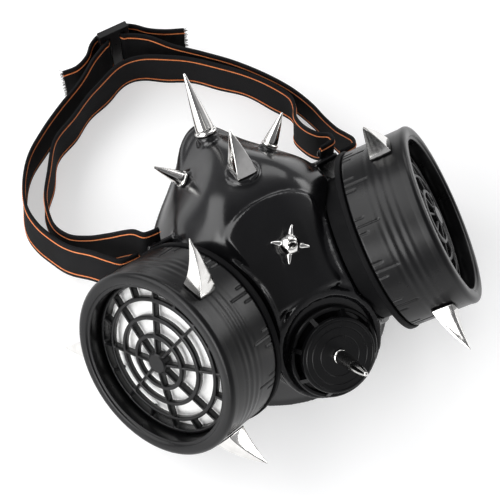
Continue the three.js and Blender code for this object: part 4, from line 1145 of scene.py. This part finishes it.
def loop_round(sign):
    """Turn of a band round its bar of the buckle."""
    bar_x = BUCKLE_MIDDLE[0] + sign * (BUCKLE.slot + BUCKLE.bar)
    turns = np.array([-0.5, -0.25, 0, 0.25, 0.5]) * math.pi
    x = bar_x - sign * BUCKLE.loop * np.cos(turns)
    y = BUCKLE_MIDDLE[1] + BUCKLE.loop * np.sin(turns)
    return [(*place, BUCKLE.level) for place in zip(x, y)]


def distances(line):
    """Length along a line up to each of its points."""
    return np.concatenate([[0], np.cumsum(np.linalg.norm(np.diff(line, axis=0), axis=1))])


def band_frames(route, free_points, lean, ripple):
    """Middle line of a band, its thickness direction and its width direction at every step. The slack
    elastic ripples to one side, most along its lower edge."""
    middle = smooth_line(route, STRAP_STEPS)
    along = np.gradient(middle, axis=0) * np.array([1, 1, 0])
    along = along / np.linalg.norm(along, axis=1)[:, None]
    across = np.stack([along[:, 1], -along[:, 0], np.zeros(len(along))], axis=1)
    share = np.minimum(np.arange(len(middle)) / ((free_points - 1) * STRAP_STEPS), 1)
    slack = np.sin(math.pi * share)
    length = distances(middle)
    waves = [part * (1 - np.cos(2 * math.pi * length / pitch)) / 2 for pitch, part in RIPPLE_PITCHES.items()]
    swing = ripple * slack * sum(waves)
    up = np.array([0, 0, STRAP_WIDTH / 2]) + across * (lean * slack - (1 - RIPPLE_MIDDLE) * swing)[:, None]
    return middle + across * (RIPPLE_MIDDLE * swing)[:, None], across, up


def band_section():
    """Places across a band's section: side (thickness) and level (width), each from -1 to 1."""
    flat = np.linspace(-BAND_FLAT, BAND_FLAT, BAND_ROWS)
    section = [(1, level) for level in flat] + [(BAND_EDGE, 1), (-BAND_EDGE, 1)]
    section += [(-1, level) for level in flat[::-1]] + [(-BAND_EDGE, -1), (BAND_EDGE, -1)]
    return np.array(section)


def band_piece(name, frames):
    """Mesh of a band, with a map of metres along it and across it."""
    middle, across, up = frames
    section = band_section()
    rings = middle[:, None] + across[:, None] * section[None, :, :1] * STRAP_THICKNESS / 2
    rings = rings + up[:, None] * section[None, :, 1:]
    piece = new_piece(name, [closed(rings)])
    lengths = distances(middle)
    count = len(section)
    along = np.append(np.repeat(lengths, count), [0, lengths[-1]]) * MM
    half_over = STRAP_WIDTH / 2
    over = np.append(np.tile((section[:, 1] + 1) * half_over, len(middle)), [half_over, half_over]) * MM
    chart = piece.data.uv_layers.new(name="band")
    corners = np.zeros(len(piece.data.loops), np.int32)
    piece.data.loops.foreach_get("vertex_index", corners)
    chart.data.foreach_set("uv", np.stack([along[corners], over[corners]], axis=1).ravel())
    return piece, lengths[-1] * MM


def peg_hole(place, sign):
    """Round cutter for the hole that buttons onto a peg."""
    return at_peg(disc(PEG_HOLE, LUG.front_y, PEG.tip, SMALL_STEPS), place, sign)


def set_along_lines(tree, given, shape, pointing, length):
    """Ends a tree that sets a shape at even steps along lines, pointing one way and of a length there."""
    line = add_node(tree, "GeometryNodeMeshToCurve", {"Mesh": given["Geometry"]})["Curve"]
    steps = {"Curve": line, "Length": given["Pitch"]}
    points = add_node(tree, "GeometryNodeResampleCurve", steps, mode="LENGTH")["Curve"]
    aligned = add_node(tree, "FunctionNodeAlignRotationToVector", {"Vector": pointing}, axis="Z")
    size = add_node(tree, "ShaderNodeCombineXYZ", {"X": given["Width"], "Y": given["Width"], "Z": length})
    instances = add_node(tree, "GeometryNodeInstanceOnPoints", {
        "Points": points, "Instance": shape["Mesh"], "Rotation": aligned["Rotation"], "Scale": size["Vector"],
    })
    return end_tree(tree, given, instances)


def stitch_tree():
    """Geometry nodes that lay small rounded stitches end to end along lines."""
    tree, given = named_tree("stitches_along_lines", {"Pitch": "Float", "Length": "Float", "Width": "Float"})
    stitch = add_node(tree, "GeometryNodeMeshUVSphere", {"Segments": 6, "Rings": 5, "Radius": 0.5})
    tangent = add_node(tree, "GeometryNodeInputTangent")["Tangent"]
    return set_along_lines(tree, given, stitch, tangent, given["Length"])


def fray_tree():
    """Geometry nodes that set loose cut threads along lines, all pointing roughly one way."""
    tree, given = named_tree("frayed_threads", {
        "Pitch": "Float", "Length": "Float", "Width": "Float", "Shortest": "Float", "Spread": "Float",
        "Outwards": "Vector", "Seed": "Int",
    })
    every_way = {0: (-1, -1, -1), 1: (1, 1, 1), "Seed": given["Seed"]}
    stray = add_node(tree, "FunctionNodeRandomValue", every_way, data_type="FLOAT_VECTOR")[0]
    ways = {0: stray, 1: given["Spread"], 2: given["Outwards"]}
    pointing = add_node(tree, "ShaderNodeVectorMath", ways, operation="MULTIPLY_ADD")["Vector"]
    shares = {2: given["Shortest"], 3: 1.0, "Seed": given["Seed"]}
    share = add_node(tree, "FunctionNodeRandomValue", shares)[1]
    thread = add_node(tree, "GeometryNodeMeshCone", {
        "Vertices": 5, "Radius Top": 0.3, "Radius Bottom": 0.5, "Depth": 1.0,
    })
    return set_along_lines(tree, given, thread, pointing, maths(tree, "MULTIPLY", given["Length"], share))


stitches = stitch_tree()
fray = fray_tree()


def along_lines(name, lines, tree, values):
    """Piece that a tree makes along lines."""
    points, edges = [], []
    for line in lines:
        start = len(points)
        points.extend(in_frame(line).tolist())
        edges.extend([(start + i, start + i + 1) for i in range(len(line) - 1)])
    piece = grown(name, points, edges, [], tree, values)
    piece.data.shade_smooth()
    return piece


def stripe_piece(name, frames):
    """Orange stitches along both faces of a band, near each edge."""
    middle, across, up = frames
    level = 1 - 2 * STRIPE_IN / STRAP_WIDTH
    lines = [middle + across * side * STRAP_THICKNESS / 2 + up * height
             for side in (-1, 1) for height in (-level, level)]
    sizes = {size: value * MM for size, value in STITCH.items()}
    return along_lines(name, lines, stitches, {**sizes, "Finish": orange_thread})


def frayed_end(name, frames):
    """Loose threads along both faces of a band's cut end."""
    middle, across, up = frames
    outwards = middle[-1] - middle[-2]
    outwards = outwards / np.linalg.norm(outwards)
    root = middle[-1] - outwards * FRAY_ROOT
    levels = np.linspace(*FRAY_SPAN, FRAY_STEPS)[:, None]
    lines = [root + across[-1] * side * STRAP_THICKNESS / 4 + up[-1] * levels for side in (-1, 1)]
    sizes = {size: value * MM for size, value in FRAY.items()}
    return along_lines(name, lines, fray, {
        **sizes, **FRAY_WAY, "Outwards": outwards.tolist(), "Finish": loose_thread,
    })


def wave_of(made, place, pitch_mm):
    """Rounded wave of the given pitch along one coordinate, from 0 to 1."""
    wave = maths(made, "SINE", maths(made, "MULTIPLY", place, 2 * math.pi / (pitch_mm * MM)))
    return maths(made, "MULTIPLY_ADD", wave, 0.5, 0.5)


elastic = new_material("elastic", {"Roughness": 0.85, "Specular IOR Level": 0.1})
chart = add_node(elastic, "ShaderNodeUVMap", uv_map="band")["UV"]
along_band, over_band, _ = add_node(elastic, "ShaderNodeSeparateXYZ", {"Vector": chart})
rib_wave = wave_of(elastic, over_band, RIB_PITCH)
weft_wave = wave_of(elastic, along_band, WEFT_PITCH)
woven = maths(elastic, "MULTIPLY_ADD", weft_wave, WEFT_SHARE, rib_wave)
raise_by(elastic, woven, WEAVE_DEPTH)
from_edge = maths(elastic, "PINGPONG", over_band, STRAP_WIDTH / 2 * MM)
in_stripe = maths(elastic, "COMPARE", from_edge, STRIPE_IN * MM, STRIPE_WIDTH / 2 * MM)
# Black elastic, with painted shade in the weave's low grooves and a painted highlight on its raised ribs.
weave_painted_shade = add_ramp(elastic, woven, 0.0, ELASTIC_DARK, 1.0, ELASTIC_LIGHT)
striped = {0: in_stripe, 6: weave_painted_shade, 7: ORANGE}
shade(elastic, {"Base Color": add_node(elastic, "ShaderNodeMix", striped, data_type="RGBA")[2]})

orange_thread = new_material("orange_thread", {"Roughness": 0.6, "Sheen Weight": 0.2})
vary_colour(orange_thread, scale=900.0, dark=THREAD_DARK, light=THREAD_LIGHT)
add_bump(orange_thread, scale=4000.0, depth_mm=0.03)

loose_thread = new_material("loose_thread", {"Roughness": 0.8, "Specular IOR Level": 0.2})
vary_colour(loose_thread, scale=700.0, dark=LOOSE_DARK, light=LOOSE_LIGHT)
add_bump(loose_thread, scale=4000.0, depth_mm=0.02)

bands = {"strap_inner": band_frames(ROUTE_INNER, len(ROUTE_INNER), STRAP_LEAN, RIPPLE_INNER)}
for side_name, sign in SIDES:
    route = ROUTE_OUTER[side_name] + loop_round(sign) + FREE_ENDS[side_name]
    frames = band_frames(route, len(ROUTE_OUTER[side_name]), -sign * STRAP_LEAN, sign * RIPPLE_OUTER)
    bands[f"strap_outer_{side_name}"] = frames
peg_holes = {
    "strap_inner": [peg_hole(PEG_PLACES[0], sign) for _, sign in SIDES],
    "strap_outer_left": [peg_hole(PEG_PLACES[1], -1)],
    "strap_outer_right": [peg_hole(PEG_PLACES[1], 1)],
}
for node_name, frames in bands.items():
    band, band_length = band_piece(f"{node_name}_elastic", frames)
    carve(band, [], peg_holes[node_name])
    dress(band, elastic, "elastic", node_name)
    threads = [stripe_piece(f"{node_name}_stripes", frames)]
    if node_name != "strap_inner":
        threads.append(frayed_end(f"{node_name}_frayed", frames))
    for piece in threads:
        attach(piece, "root")

# Slide buckle
# A flat moulded plastic buckle with two slots. Each half of the outer band turns back round one of its
# end bars.
buckle_length = 3 * BUCKLE.bar + 2 * BUCKLE.slot


def plain_box(size, middle):
    half = np.array(size) / 2
    return closed([np.array([(x, y, z) for x, y in SQUARE]) * half + np.array(middle) for z in (-1, 1)])


buckle_middle = (*BUCKLE_MIDDLE, BUCKLE.height / 2)
slot_inner = BUCKLE.middle / 2
slot_outer = BUCKLE.bar / 2 + BUCKLE.slot
slot_size = (slot_outer - slot_inner, 2 * BUCKLE.thickness, BUCKLE.height - 2 * BUCKLE.end)
slot_shift = (slot_outer + slot_inner) / 2
slots = [plain_box(slot_size, np.array(buckle_middle) + ACROSS * side * slot_shift) for side in (-1, 1)]
plate = plain_box((buckle_length, BUCKLE.thickness, BUCKLE.height), buckle_middle)
buckle = carve(new_piece("strap_buckle_moulded", [plate], smooth=False), [], slots)
soften(buckle, BUCKLE.edge)
dress(buckle, satin_plastic, "buckle_plastic", "strap_buckle")
